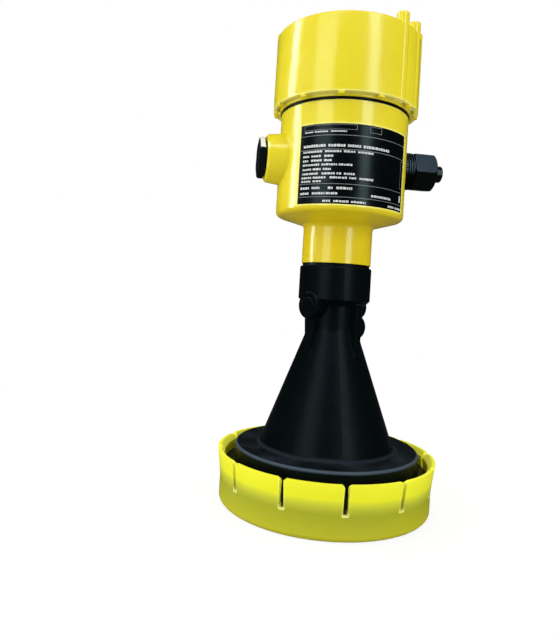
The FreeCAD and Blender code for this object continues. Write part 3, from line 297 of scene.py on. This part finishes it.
def slot_masks(nodes, parts):
    """Masks of the slots' painted glow on their pale edges, brightest at the foot, and of the
    painted shade of their dark insides.
    """
    turn = nodes.math("ARCTAN2", parts["X"], parts["Y"])
    shares = nodes.span(turn, -math.pi, math.pi, 0.0, SLOT_COUNT)
    first = 0.5 + SLOT_AZIMUTH * SLOT_COUNT / 360 + SLOT_COUNT
    within = nodes.math("FRACT", nodes.math("ADD", shares, first))
    across = nodes.span(within, 0.0, 1.0, -SLOT_PITCH / 2, SLOT_PITCH / 2)
    aside = nodes.math("ABSOLUTE", across)
    above = nodes.math("SUBTRACT", parts["Z"], SLOT_FOOT)
    away = nodes.add("ShaderNodeCombineXYZ")
    nodes.link(
        nodes.span(aside, SLOT_HALF_WIDTH, SLOT_HALF_WIDTH + SLOT_FAR, 0.0, SLOT_FAR),
        away.inputs["X"],
    )
    nodes.link(nodes.span(above, -SLOT_FAR, 0.0, SLOT_FAR, 0.0), away.inputs["Y"])
    distance = nodes.add("ShaderNodeVectorMath", operation="LENGTH")
    nodes.link(away.outputs["Vector"], distance.inputs[0])
    glow = nodes.math(
        "MULTIPLY",
        nodes.span(distance.outputs["Value"], *GLOW_FADE, 1.0, 0.0),
        nodes.span(above, 0.0, GLOW_FOOT, 1.0, GLOW_ABOVE),
    )
    slot_painted_shade = nodes.math(
        "MULTIPLY",
        nodes.span(aside, *DARK_SIDE, 1.0, 0.0),
        nodes.span(above, 0.0, DARK_FOOT, 0.0, 1.0),
    )
    return glow, slot_painted_shade


def cap_material():
    """Soft translucent yellow with painted light: brighter in the rim band, where light passes
    with no black part behind it, with painted shade lower down.
    """
    material = bpy.data.materials.new("cap_yellow")
    nodes = Nodes(material)
    shader = nodes.add("ShaderNodeBsdfPrincipled", {
        "Subsurface Weight": 0.2,
        "Subsurface Radius": (0.004, 0.004, 0.0008),
        "Subsurface Scale": 0.5,
        "Specular IOR Level": 0.35,
    })
    parts = nodes.split(nodes.coords())
    wobble = nodes.span(nodes.noise(30.0), 0.0, 1.0, -1.0 * MM, 1.0 * MM)
    height = nodes.math("ADD", parts["Z"], wobble)
    # Painted light: the rim band is bright where light passes through the wall, and lower down,
    # where the black flange is behind it, the colour holds painted shade.
    colour = nodes.ramp(nodes.span(height, 0.0, CAP_HEIGHT, 0.0, 1.0), [
        (0.0, linear(198, 193, 32)),
        (0.25, linear(182, 182, 27)),
        (0.44, linear(170, 173, 24)),
        (0.56, linear(194, 197, 46)),
        (0.66, linear(222, 224, 44)),
        (0.72, linear(242, 243, 26)),
        (1.0, linear(250, 249, 44)),
    ])
    # Painted glow at the slots' edges, brightest at their feet, and painted shade inside the
    # slots.
    glow, slot_painted_shade = slot_masks(nodes, parts)
    with_painted_glow = nodes.mix(glow, colour, linear(253, 255, 150))
    nodes.finish(
        shader, nodes.mix(slot_painted_shade, with_painted_glow, linear(48, 48, 8)),
        nodes.uneven(nodes.noise(120.0, 4.0), 0.34, 0.48),
        nodes.bump(nodes.noise(700.0, 2.0), 0.03, 0.3 * MM),
    )
    return material


def antenna_material():
    """Black moulded plastic with a satin surface, a trace of dust on faces that look up, and
    painted highlights on edges, the flange's rim and the cone's foot.
    """
    material = bpy.data.materials.new("antenna_black")
    nodes = Nodes(material)
    shader = nodes.add("ShaderNodeBsdfPrincipled", {"Specular IOR Level": 0.06})
    normal = nodes.add("ShaderNodeNewGeometry").outputs["Normal"]
    up = nodes.span(nodes.split(normal)["Z"], 0.75, 1.0, 0.0, 1.0)
    specks = nodes.span(nodes.noise(1100.0, 6.0, 0.7), 0.5, 0.68, 0.0, 0.6)
    clouds = nodes.span(nodes.noise(55.0, 4.0), 0.42, 0.68, 0.0, 1.0)
    dust = nodes.math("MULTIPLY", nodes.math("MULTIPLY", specks, clouds), up)
    # Painted highlights: edges, the flange's rounded rim and the cone's foot take a faint grey
    # shine in the colour.
    zone = nodes.span(nodes.split(nodes.coords())["Z"], *FLANGE_HIGHLIGHT_ZONE, 0.0, 1.0)
    rim_highlight = nodes.ramp(zone, [
        (0.0, BLACK), (0.29, BLACK), (0.40, grey(0.3)), (0.47, grey(0.34)), (0.495, BLACK),
        (0.51, grey(0.03)), (0.58, grey(0.09)), (0.72, BLACK),
    ])
    edges = nodes.math("MULTIPLY", edge_mask(nodes, HORN_EDGE_REACH), HORN_EDGE_HIGHLIGHT)
    # The pale blue-grey carries both the real dust and the painted highlights.
    dust_and_highlights = nodes.math("MAXIMUM", nodes.math("MAXIMUM", rim_highlight, edges), dust)
    nodes.finish(
        shader,
        nodes.ramp(dust_and_highlights, [(0.0, linear(4, 9, 11)), (1.0, linear(112, 130, 148))]),
        nodes.uneven(nodes.noise(140.0, 5.0, 0.6), 0.3, 0.38),
        nodes.bump(nodes.noise(1500.0, 2.0), 0.05, 0.2 * MM),
    )
    return material


def make_materials():
    """One material per slot of the record, and those of the label's lip and print."""
    return {
        "cap_yellow": cap_material(),
        "antenna_black": antenna_material(),
        "lens_black": plastic(
            "lens_black", linear(17, 19, 22), linear(12, 14, 16), (0.3, 0.42),
            Specular_IOR_Level=0.3,
        ),
        "seal_rubber": plastic(
            "seal_rubber", linear(5, 6, 7), linear(3, 3, 4), (0.3, 0.42), 1500.0, 0.05,
            Specular_IOR_Level=0.07,
        ),
        "bearing_white": plastic(
            "bearing_white", linear(232, 230, 222), linear(222, 219, 208), (0.4, 0.5)
        ),
        "spring_steel": metal("spring_steel", linear(190, 190, 188), (0.22, 0.36)),
        "brass": metal("brass", linear(222, 190, 112), (0.2, 0.32)),
        "module_metal": metal("module_metal", linear(205, 206, 208), (0.3, 0.42)),
        "housing_yellow": housing_material(),
        "label_black": plastic(
            "label_black", linear(4, 8, 11), linear(2, 5, 7), (0.2, 0.28), 1200.0, 0.02,
            Specular_IOR_Level=0.15,
        ),
        # The plug's pale blue-grey edges are a painted highlight.
        "plug_black": plastic(
            "plug_black", linear(4, 8, 10), linear(2, 5, 7), (0.22, 0.3), 1300.0, 0.03,
            edges=linear(78, 98, 116), Specular_IOR_Level=0.22,
        ),
        # The lip's paler yellow is a painted highlight on its rounded edge.
        "lip_highlight_yellow": plastic(
            "lip_highlight_yellow", linear(250, 243, 128), linear(244, 234, 104), (0.16, 0.24)
        ),
        "label_print": plastic(
            "label_print", linear(214, 216, 214), linear(188, 190, 188), (0.4, 0.5)
        ),
        "label_line": plastic(
            "label_line", linear(128, 130, 128), linear(104, 106, 104), (0.4, 0.5)
        ),
        "sticker_white": plastic(
            "sticker_white", linear(236, 236, 234), linear(226, 226, 224), (0.4, 0.5)
        ),
        "module_grey": plastic(
            "module_grey", linear(58, 60, 62), linear(50, 52, 54), (0.4, 0.55)
        ),
        "board_green": plastic(
            "board_green", linear(28, 104, 58), linear(20, 88, 48), (0.25, 0.35)
        ),
        "terminal_green": plastic(
            "terminal_green", linear(52, 142, 84), linear(44, 128, 74), (0.35, 0.45)
        ),
    }


# Limits for cleaning a mesh, in metres, and the angle from which an edge is sharp.
SAME_PLACE, NO_LENGTH = 1e-7, 1e-8
SHARP_ANGLE = 40


def dress_nodes(materials):
    """Gives every CAD node the material of its slot."""
    slots = {row["node"]: row["material_slot"] for row in frame["record"]["subparts"]}
    for name, node in frame["nodes"].items():
        node.data.materials.clear()
        node.data.materials.append(materials[slots[name]])


def add_piece(name, mesh_data, material, body):
    """Makes a smooth mesh of mesh data, in the material of a slot, and lets it ride on a body."""
    vertices, faces = mesh_data
    mesh = bpy.data.meshes.new(name)
    mesh.from_pydata([(x * MM, y * MM, z * MM) for x, y, z in vertices], [], faces)
    form = bmesh.new()
    form.from_mesh(mesh)
    bmesh.ops.remove_doubles(form, verts=form.verts, dist=SAME_PLACE)
    bmesh.ops.dissolve_degenerate(form, edges=form.edges, dist=NO_LENGTH)
    bmesh.ops.recalc_face_normals(form, faces=form.faces)
    form.to_mesh(mesh)
    form.free()
    mesh.materials.append(material)
    piece = bpy.data.objects.new(name, mesh)
    bpy.context.scene.collection.objects.link(piece)
    mesh.shade_smooth()
    mesh.set_sharp_from_angle(angle=math.radians(SHARP_ANGLE))
    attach(piece, body)
    return piece


def rounded(corners, steps=4):
    """Profile from corners (r, z, rounding): each rounded corner becomes a few points."""
    points = []
    for i, (r, z, rounding) in enumerate(corners):
        if not rounding:
            points.append((r, z))
            continue
        before, after = corners[i - 1], corners[(i + 1) % len(corners)]
        here = Vector((r, z))
        to_before = Vector(before[:2]) - here
        to_after = Vector(after[:2]) - here
        start = here + to_before.normalized() * rounding
        end = here + to_after.normalized() * rounding
        for k in range(steps + 1):
            t = k / steps
            points.append(tuple(
                start * (1 - t) ** 2 + here * (2 * t * (1 - t)) + end * t ** 2
            ))
    return points


def turned(profile, columns=192, closed=True, place=None):
    """Mesh data of a profile (r, z) turned about the Z axis; place moves each point."""
    vertices, faces = [], []
    count = len(profile)
    for i in range(columns):
        angle = 2 * math.pi * i / columns
        for r, z in profile:
            point = (r * math.cos(angle), r * math.sin(angle), z)
            vertices.append(place(point) if place else point)
        following = (i + 1) % columns
        for j in range(count if closed else count - 1):
            k = (j + 1) % count
            faces.append((i * count + j, following * count + j,
                          following * count + k, i * count + k))
    return vertices, faces


def joined(*parts):
    """Several pieces of mesh data as one."""
    vertices, faces = [], []
    for part_vertices, part_faces in parts:
        start = len(vertices)
        vertices += part_vertices
        faces += [tuple(start + i for i in face) for face in part_faces]
    return vertices, faces


def swept(rows):
    """Mesh data of rows of points, joined one to the next and closed at both ends."""
    count = len(rows[0])
    last_row = (len(rows) - 1) * count
    faces = []
    for here in range(count, last_row + 1, count):
        last = here - count
        for j in range(count):
            k = (j + 1) % count
            faces.append((last + j, here + j, here + k, last + k))
    faces.append(tuple(range(count)))
    faces.append(tuple(reversed(range(last_row, last_row + count))))
    return [point for row in rows for point in row], faces


def arc(section, start, end, steps):
    """Mesh data of a section (r, z) swept from one azimuth to another."""
    ways = [direction(start + (end - start) * i / steps) for i in range(steps + 1)]
    return swept([[(way.x * r, way.y * r, z) for r, z in section] for way in ways])


def thread(radius, low, high, pitch, depth, inward=False, place=None):
    """Mesh data of a screw thread: a ridge with a flat crest that winds up a cylinder."""
    side = -1 if inward else 1
    columns, fade_steps, root, margin = 96, 12, 0.2, 0.45
    # The ridge's section: reach from the cylinder, and height as a share of the pitch.
    section = [
        (-root * side, -0.44), (0.0, -0.38), (depth * side, -0.12),
        (depth * side, 0.12), (0.0, 0.38), (-root * side, 0.44),
    ]
    turns = (high - low) / pitch - 2 * margin
    steps = int(turns * columns)
    rows = []
    for i in range(steps + 1):
        angle = 2 * math.pi * i / columns
        lift = low + pitch * (margin + i / columns)
        fade = min(1.0, i / fade_steps, (steps - i) / fade_steps)
        row = []
        for r, z in section:
            r = radius + (r if r * side < 0 else r * fade)
            point = (r * math.cos(angle), r * math.sin(angle), lift + z * pitch)
            row.append(place(point) if place else point)
        rows.append(row)
    return swept(rows)


# Heights and radii of lid and housing, in millimetres, as the frame has them.
LID_RADIUS, LID_TAPER, LID_LOW, LID_TOP = 39.5, 0.2, 211.8, 251.5
LID_ROOF = LID_TOP - 3.0
LID_BORE, LID_BORE_FOOT = 36.2, 229.5
THREAD_INSIDE, THREAD_INSIDE_TOP, THREAD_INSIDE_FOOT = 33.3, 226.6, 210.4
SEAL_GROOVE_RADIUS, SKIRT_INSIDE, SKIRT_DEPTH = 36.0, 37.4, 1.8
THREAD_RADIUS, THREAD_TOP, THREAD_PITCH = 33.0, 226.0, 4.0
SHOULDER = 209.3
BODY_RADIUS = 34.9

# The lid's grip ribs, in two groups of three, and the teeth under its skirt.
GRIP_CIRCLE, GRIP_RADIUS, GRIP_TOP = 36.73, 3.24, 257.1
GRIP_TURNS = [32.65 + 20.7 * k + side for side in (0, 180) for k in range(3)]
TOOTH_TURNS = [-17.25 + 30 * k for k in range(12)]
TOOTH_HALF_ANGLE = 2.2
TOOTH_OUTSIDE = LID_RADIUS - 0.1
TOOTH_LOW, TOOTH_HIGH = 210.3, LID_LOW + 0.5

# Threads: radius, start and end along the axis, pitch and depth. The last two are in the two
# entries, whose common axis is level.
LID_THREAD = (THREAD_INSIDE, LID_LOW + 0.7, THREAD_TOP, THREAD_PITCH, 0.25)
COLLAR_THREAD = (THREAD_RADIUS, SHOULDER + 2.2, THREAD_TOP - 1.0, THREAD_PITCH, 0.22)
GLAND_THREAD = (8.4, 40.1, 46.5, 1.5, 0.22)
PLUG_THREAD = (7.9, 33.8, 42.6, 1.5, 0.22)
ENTRY_HEIGHT = 184.0

# The label's recess, and its lip: depth of the lip's middle, half width and half thickness.
LABEL_LOW, LABEL_MIDDLE, LABEL_HIGH = 156.4, 176.0, 197.3
LABEL_HALF_ANGLE = 52.8
LIP_DEPTH, LIP_HALF_WIDTH, LIP_HALF_THICKNESS = 0.1, 0.42, 0.21
# Azimuths that differ by less are one.
SAME_ANGLE = 1e-9


def make_lid():
    """Lid with rounded edges: shell, grip ribs and teeth under the skirt."""
    skirt_top = LID_LOW + SKIRT_DEPTH
    parts = [turned(rounded([
        (0, LID_ROOF, 0), (LID_BORE, LID_ROOF, 1.0), (LID_BORE, LID_BORE_FOOT, 0.8),
        (THREAD_INSIDE, THREAD_INSIDE_TOP, 0.4), (THREAD_INSIDE, THREAD_INSIDE_FOOT, 0.3),
        (SEAL_GROOVE_RADIUS, THREAD_INSIDE_FOOT, 0.3), (SEAL_GROOVE_RADIUS, skirt_top, 0.3),
        (SKIRT_INSIDE, skirt_top, 0.3), (SKIRT_INSIDE, LID_LOW, 0.3),
        (LID_RADIUS, LID_LOW, 0.45), (LID_RADIUS - LID_TAPER, LID_TOP, 0.9), (0, LID_TOP, 0),
    ]))]
    rib_foot = LID_LOW + 0.02
    rib = rounded([
        (0, rib_foot, 0), (GRIP_RADIUS, rib_foot, 0.45),
        (GRIP_RADIUS, GRIP_TOP, 0.7), (0, GRIP_TOP, 0),
    ])
    for turn in GRIP_TURNS:
        way = direction(turn)
        parts.append(turned(rib, columns=40, closed=False, place=lambda p, way=way: (
            p[0] + way.x * GRIP_CIRCLE, p[1] + way.y * GRIP_CIRCLE, p[2]
        )))
    for turn in TOOTH_TURNS:
        parts.append(arc_block(
            turn - TOOTH_HALF_ANGLE, turn + TOOTH_HALF_ANGLE,
            SKIRT_INSIDE, TOOTH_OUTSIDE, TOOTH_LOW, TOOTH_HIGH,
        ))
    parts.append(thread(*LID_THREAD, inward=True))
    return joined(*parts)


def arc_block(start, end, inner, outer, low, high):
    """Mesh data of a curved block between two azimuths, with its lower edges chamfered."""
    steps, edge = 4, 0.25
    section = [
        (inner, high), (inner, low + edge), (inner + edge, low), (outer - edge, low),
        (outer, low + edge), (outer, high),
    ]
    return arc(section, start, end, steps)


def label_rim():
    """Rounded lip all round the label's recess, which catches the light."""
    columns, levels, sides = 72, 12, 8
    half, tall = LABEL_HALF_ANGLE, LABEL_HIGH - LABEL_LOW
    rows = [(-half + 2 * half * i / columns, LABEL_LOW) for i in range(columns + 1)]
    rows += [(half, LABEL_LOW + tall * i / levels) for i in range(1, levels + 1)]
    rows += [(half - 2 * half * i / columns, LABEL_HIGH) for i in range(1, columns + 1)]
    rows += [(-half, LABEL_HIGH - tall * i / levels) for i in range(1, levels)]
    section = [
        (math.cos(2 * math.pi * i / sides), math.sin(2 * math.pi * i / sides))
        for i in range(sides)
    ]
    vertices, faces = [], []
    for i, (turn, height) in enumerate(rows):
        ahead, behind = rows[(i + 1) % len(rows)], rows[i - 1]
        level = abs(ahead[0] - turn) > SAME_ANGLE
        corner = level != (abs(turn - behind[0]) > SAME_ANGLE)
        for out, across in section:
            r = BODY_RADIUS - LIP_DEPTH + out * LIP_HALF_THICKNESS
            aside = raised = 0.0
            if corner or not level:
                aside = across * math.copysign(1, turn)
            if corner or level:
                raised = across * math.copysign(1, height - LABEL_MIDDLE)
            way = direction(turn + math.degrees(aside * LIP_HALF_WIDTH / BODY_RADIUS))
            vertices.append((way.x * r, way.y * r, height + raised * LIP_HALF_WIDTH))
        here, following = i * sides, (i + 1) % len(rows) * sides
        for j in range(sides):
            k = (j + 1) % sides
            faces.append((here + j, following + j, following + k, here + k))
    return vertices, faces


def add_camera():
    """The photograph's camera: place, turn, focal length and shift."""
    turn = Matrix.Rotation(math.radians(CAMERA_AZIMUTH), 3, "Z")
    forward = Vector((
        -math.sin(CAMERA_YAW) * math.cos(CAMERA_PITCH),
        math.cos(CAMERA_YAW) * math.cos(CAMERA_PITCH),
        math.sin(CAMERA_PITCH),
    ))
    level = Vector((math.cos(CAMERA_YAW), math.sin(CAMERA_YAW), 0))
    raised = level.cross(forward)
    right = math.cos(CAMERA_ROLL) * level - math.sin(CAMERA_ROLL) * raised
    up = math.sin(CAMERA_ROLL) * level + math.cos(CAMERA_ROLL) * raised
    axes = Matrix((turn @ right, turn @ up, turn @ -forward)).transposed()
    data = bpy.data.cameras.new("photo_camera")
    camera = bpy.data.objects.new("photo_camera", data)
    place = direction(CAMERA_AZIMUTH) * CAMERA_DISTANCE + Vector((0, 0, CAMERA_HEIGHT))
    camera.matrix_world = Matrix.Translation(place) @ axes.to_4x4()
    data.sensor_width = SENSOR_WIDTH
    data.lens = FOCAL_PIXELS / PHOTO_HEIGHT * data.sensor_width
    data.shift_x = (PHOTO_WIDTH / 2 - CENTRE_PIXEL[0]) / PHOTO_HEIGHT
    data.shift_y = (CENTRE_PIXEL[1] - PHOTO_HEIGHT / 2) / PHOTO_HEIGHT
    data.clip_start = NEAREST_SEEN
    bpy.context.scene.collection.objects.link(camera)
    bpy.context.scene.camera = camera


COOL = (0.7, 0.95, 1.0)
SKY_BLUE = (0.48, 0.74, 1.0)
PLAIN = (1, 1, 1)
# Softboxes: name, azimuth from the camera, height, distance, size, radiance, whether they show
# in gloss alone or light colours alone, and colour.
LAMPS = [
    ("left_streak", -90.0, 0.25, 0.8, (0.16, 1.1), 10.5, True, COOL),
    ("front_streak", -34.0, 0.35, 1.0, (0.5, 1.0), 2.9, True, COOL),
    ("right_streak", 40.0, 0.3, 0.9, (0.26, 1.1), 4.6, True, COOL),
    ("sky_panel", 12.0, 1.05, 0.72, (1.3, 0.34), 4.6, True, SKY_BLUE),
    ("left_fill", -74.0, 0.5, 1.1, (0.9, 0.9), 2.5, False, PLAIN),
    ("right_fill", 45.0, 0.6, 1.1, (0.9, 0.9), 1.95, False, PLAIN),
    ("rear_fill", 180.0, 0.5, 1.1, (0.9, 0.9), 1.7, False, PLAIN),
    ("top_fill", 0.0, 1.3, 0.2, (0.7, 0.7), 1.7, False, PLAIN),
]
LAMP_AIM = Vector((0, 0, 0.13))
# Watts per square metre of a softbox, for each unit of radiance.
LAMP_POWER = 4.0
# Parts that the left streak does not reach, and pieces that it reaches beside the others.
UNSTREAKED_NODES = ("horn_antenna", "antenna_lens", "boss_plugs")
STREAKED_PIECES = ("lid_shell", "label_lip", "collar_thread", "plug_thread")


def add_lamp(name, azimuth, height, distance, size, radiance, shows, colour):
    """Softbox of the list, aimed at the part; its power follows from radiance and area."""
    width, tall = size
    data = bpy.data.lights.new(name, "AREA")
    data.shape = "RECTANGLE"
    data.size = width
    data.size_y = tall
    data.color = colour
    data.energy = radiance * LAMP_POWER * width * tall
    lamp = bpy.data.objects.new(name, data)
    place = direction(CAMERA_AZIMUTH + azimuth) * distance + Vector((0, 0, height))
    facing = (place - LAMP_AIM).to_track_quat("Z", "Y").to_matrix().to_4x4()
    lamp.matrix_world = Matrix.Translation(place) @ facing
    lamp.visible_camera = False
    lamp.visible_diffuse = not shows
    lamp.visible_glossy = shows
    bpy.context.scene.collection.objects.link(lamp)
    return lamp


def add_lights():
    """Studio softboxes: cool streaks in the gloss, and soft light for the colours."""
    lamps = {row[0]: add_lamp(*row) for row in LAMPS}
    # The left streak is kept off the antenna, which shows only its faint sheen on the right.
    lit = bpy.data.collections.new("left_streak_lights")
    for name, node in frame["nodes"].items():
        if name not in UNSTREAKED_NODES:
            lit.objects.link(node)
    for name in STREAKED_PIECES:
        lit.objects.link(bpy.data.objects[name])
    lamps["left_streak"].light_linking.receiver_collection = lit


# The backdrop: its edge, as cosines from the camera's level direction, and its brightness in the
# gloss in front of the part and behind it. Then the strength of the light from all round.
BACKDROP_EDGE = (0.94, 0.99)
BACKDROP_GLOSS = (0.02, 0.07)
FILL_STRENGTH = 0.63

# The floor: side, drop below the cap's foot, its greys as a source of light, in the gloss and in
# the picture, and the distances and shares in which it becomes the white backdrop.
FLOOR_SIDE, FLOOR_DROP = 6.0, 0.02 * MM
FLOOR_LIGHTS, FLOOR_GLOSS, FLOOR_SEEN = grey(0.54), grey(0.06), grey(0.95)
FLOOR_FADE, FLOOR_WHITE = (0.1, 0.4), (0.85, 1.0)


def seen_backdrop(nodes):
    """0 or 1 for rays in the gloss, and for rays of the eye, straight or through glass."""
    path = nodes.add("ShaderNodeLightPath").outputs
    seen = nodes.math("MAXIMUM", path["Is Camera Ray"], path["Is Transmission Ray"])
    return path["Is Glossy Ray"], seen


def add_world():
    """White behind the part, dim in front of it, soft grey light from all round."""
    world = bpy.data.worlds.new("studio")
    bpy.context.scene.world = world
    nodes = Nodes(world, "ShaderNodeOutputWorld")
    glossy, seen = seen_backdrop(nodes)
    away = nodes.add("ShaderNodeVectorMath", operation="DOT_PRODUCT")
    nodes.link(nodes.add("ShaderNodeTexCoord").outputs["Generated"], away.inputs[0])
    away.inputs[1].default_value = -direction(CAMERA_AZIMUTH)
    behind = nodes.span(away.outputs["Value"], *BACKDROP_EDGE, *BACKDROP_GLOSS)
    fill = nodes.add("ShaderNodeBackground", {"Color": WHITE, "Strength": FILL_STRENGTH})
    gloss = nodes.add("ShaderNodeBackground", {"Color": WHITE})
    nodes.link(behind, gloss.inputs["Strength"])
    view = nodes.add("ShaderNodeBackground", {"Color": WHITE, "Strength": 1.0})
    unseen = nodes.blend(glossy, fill.outputs["Background"], gloss.outputs["Background"])
    nodes.link(
        nodes.blend(seen, unseen, view.outputs["Background"]), nodes.output.inputs["Surface"]
    )


def add_floor():
    """White floor that fades into the white backdrop and keeps a soft shadow."""
    bpy.ops.mesh.primitive_plane_add(size=FLOOR_SIDE, location=(0, 0, -FLOOR_DROP))
    floor = bpy.context.object
    floor.name = "floor"
    material = bpy.data.materials.new("floor_white")
    nodes = Nodes(material)
    glossy, seen = seen_backdrop(nodes)
    # Other rays find a duller floor, so that it lights the undersides no more than a table would.
    dull = nodes.mix(glossy, FLOOR_LIGHTS, FLOOR_GLOSS)
    lit = nodes.add("ShaderNodeBsdfDiffuse")
    nodes.link(nodes.mix(seen, dull, FLOOR_SEEN), lit.inputs["Color"])
    glow = nodes.add("ShaderNodeEmission", {"Color": WHITE, "Strength": 1.0})
    reach = nodes.add("ShaderNodeVectorMath", operation="LENGTH")
    nodes.link(nodes.coords(), reach.inputs[0])
    share = nodes.math(
        "MULTIPLY", seen, nodes.span(reach.outputs["Value"], *FLOOR_FADE, *FLOOR_WHITE)
    )
    nodes.link(
        nodes.blend(share, lit.outputs["BSDF"], glow.outputs["Emission"]),
        nodes.output.inputs["Surface"],
    )
    floor.data.materials.append(material)


# The label's print, in millimetres and degrees. A patch has a step of azimuth, and is sunk in
# the label's face and proud of it.
LABEL_FACE = 34.82
PATCH_STEP, PATCH_SUNK, PATCH_PROUD = 2.5, 0.05, 0.03
LINE_HALF_WIDTH = 0.13
FIELD_LINE = 1.6 * LINE_HALF_WIDTH
# Short bars: widths, gaps and the tops that one is drawn from, as shares of the row's height.
BAR_WIDTHS, BAR_GAPS, BAR_TOPS = (1.0, 2.6), (0.35, 0.6), (0.5, 0.5, 0.38)
SOLID_FIELD = ((46.6, 161.8), (49.4, 165.2))
LABEL_SEED = 7
# Generic rows of the label: height, bar height, spans of azimuth that short bars fill.
LABEL_ROWS = [
    (193.0, 0.7, [(-48, -40), (-38.5, -26), (-24.5, -11.5)]),
    (185.9, 1.3, [(-48.5, -28), (-26, -12), (-10, 1), (3, 28)]),
    (183.0, 1.0, [(-48.5, -31), (-28.5, -14.5), (-13, -3), (-1.5, 12)]),
    (180.7, 1.0, [(-48.5, -42.5), (-40.5, -31), (-29, -21.5)]),
    (178.5, 1.0, [(-48.5, -42.5), (-40.5, -31), (-29, -21.5)]),
    (176.4, 1.0, [(-48.5, -33), (-31, -18), (-16.5, -5.5)]),
    (174.1, 1.0, [(-48.5, -40), (-38.5, -31.5), (-29.5, -23)]),
    (171.9, 1.0, [(-48.5, -33), (-30.5, -19.5), (-18, -13.5), (-12, -2.5)]),
    (169.9, 1.0, [(-49, -39.5), (-38, -26), (-23.5, -9.5), (-7.5, -1), (1, 14)]),
    (168.1, 0.9, [(-49, -39.5), (-38, -30.5)]),
    (164.7, 1.2, [(-49.5, -40), (-38.5, -31.5), (-24.5, -20), (-17.5, -4.5)]),
    (162.0, 1.1, [(-49.5, -40.5), (-38, -27), (-26, -16.5), (12, 34)]),
    (158.2, 1.0, [(-28.5, -21), (-19.5, -6.5), (-5, 7.5), (30, 38), (40, 51)]),
]
# Dividing lines of the label: two corners each, as azimuth and height.
LABEL_LINES = [
    ((-52.2, 191.2), (52.2, 191.0)), ((-52.2, 183.9), (52.2, 184.1)),
    ((-52.2, 166.9), (52.2, 166.7)), ((-52.2, 160.4), (52.2, 160.2)),
]
# Empty fields of the label, drawn as thin frames.
LABEL_FIELDS = [
    ((-48.5, 193.9), (-3.0, 196.5)), ((8.0, 193.2), (19.0, 196.4)),
    ((46.5, 169.0), (51.5, 183.2)),
]


def patch(corner, opposite):
    """Mesh data of a thin curved bar on the label between two corners (azimuth, height)."""
    start, low = min(corner[0], opposite[0]), min(corner[1], opposite[1])
    end, high = max(corner[0], opposite[0]), max(corner[1], opposite[1])
    steps = max(1, round((end - start) / PATCH_STEP))
    inner, outer = LABEL_FACE - PATCH_SUNK, LABEL_FACE + PATCH_PROUD
    section = [(inner, low), (outer, low), (outer, high), (inner, high)]
    return arc(section, start, end, steps)


def label_marks():
    """Rows of short bars, as generic as ruled print, and one solid field."""
    draw = random.Random(LABEL_SEED)
    parts = []
    for height, tall, spans in LABEL_ROWS:
        for start, end in spans:
            turn = start
            while turn < end - BAR_GAPS[1]:
                wide = min(draw.uniform(*BAR_WIDTHS), end - turn)
                top = height + tall * draw.choice(BAR_TOPS)
                parts.append(patch((turn, height - tall / 2), (turn + wide, top)))
                turn += wide + draw.uniform(*BAR_GAPS)
    parts.append(patch(*SOLID_FIELD))
    return joined(*parts)


def label_lines():
    """Dividing lines and empty framed fields of the label."""
    parts = []
    for (start, low), (end, high) in LABEL_LINES:
        middle = (low + high) / 2
        parts.append(patch((start, middle - LINE_HALF_WIDTH), (end, middle + LINE_HALF_WIDTH)))
    aside = math.degrees(FIELD_LINE / LABEL_FACE)
    for (start, low), (end, high) in LABEL_FIELDS:
        parts.append(patch((start, low), (end, low + FIELD_LINE)))
        parts.append(patch((start, high - FIELD_LINE), (end, high)))
        parts.append(patch((start, low), (start + aside, high)))
        parts.append(patch((end - aside, low), (end, high)))
    return joined(*parts)


def sideways(way):
    """Maps a turned piece's axis from Z to the entries' axis: way 1 is +X, -1 is -X."""
    return lambda p: (p[2] * way, p[0], ENTRY_HEIGHT + p[1] * way)


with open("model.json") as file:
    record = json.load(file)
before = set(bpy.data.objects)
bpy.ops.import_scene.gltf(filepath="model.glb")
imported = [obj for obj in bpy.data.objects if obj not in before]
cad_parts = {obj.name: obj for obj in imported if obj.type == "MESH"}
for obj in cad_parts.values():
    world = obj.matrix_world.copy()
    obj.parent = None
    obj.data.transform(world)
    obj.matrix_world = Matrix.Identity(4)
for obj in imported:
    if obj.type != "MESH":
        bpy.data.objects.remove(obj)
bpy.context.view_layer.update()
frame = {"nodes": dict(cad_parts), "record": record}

materials = make_materials()
dress_nodes(materials)
add_camera()

lid = add_piece("lid_shell", make_lid(), materials["housing_yellow"], "lid")
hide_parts("lid")
# The lip's paler yellow material is a painted highlight.
add_piece("label_lip", label_rim(), materials["lip_highlight_yellow"], "housing")
add_piece(
    "collar_thread", thread(*COLLAR_THREAD),
    materials["housing_yellow"], "housing",
)
add_piece("label_marks", label_marks(), materials["label_print"], "housing")
add_piece("label_lines", label_lines(), materials["label_line"], "housing")
add_piece(
    "gland_mouth_thread", thread(*GLAND_THREAD, place=sideways(1)),
    materials["plug_black"], "housing",
)
add_piece(
    "plug_thread", thread(*PLUG_THREAD, place=sideways(-1)),
    materials["plug_black"], "plug",
)

add_lights()
add_world()
add_floor()
bpy.context.scene.view_settings.view_transform = "Standard"
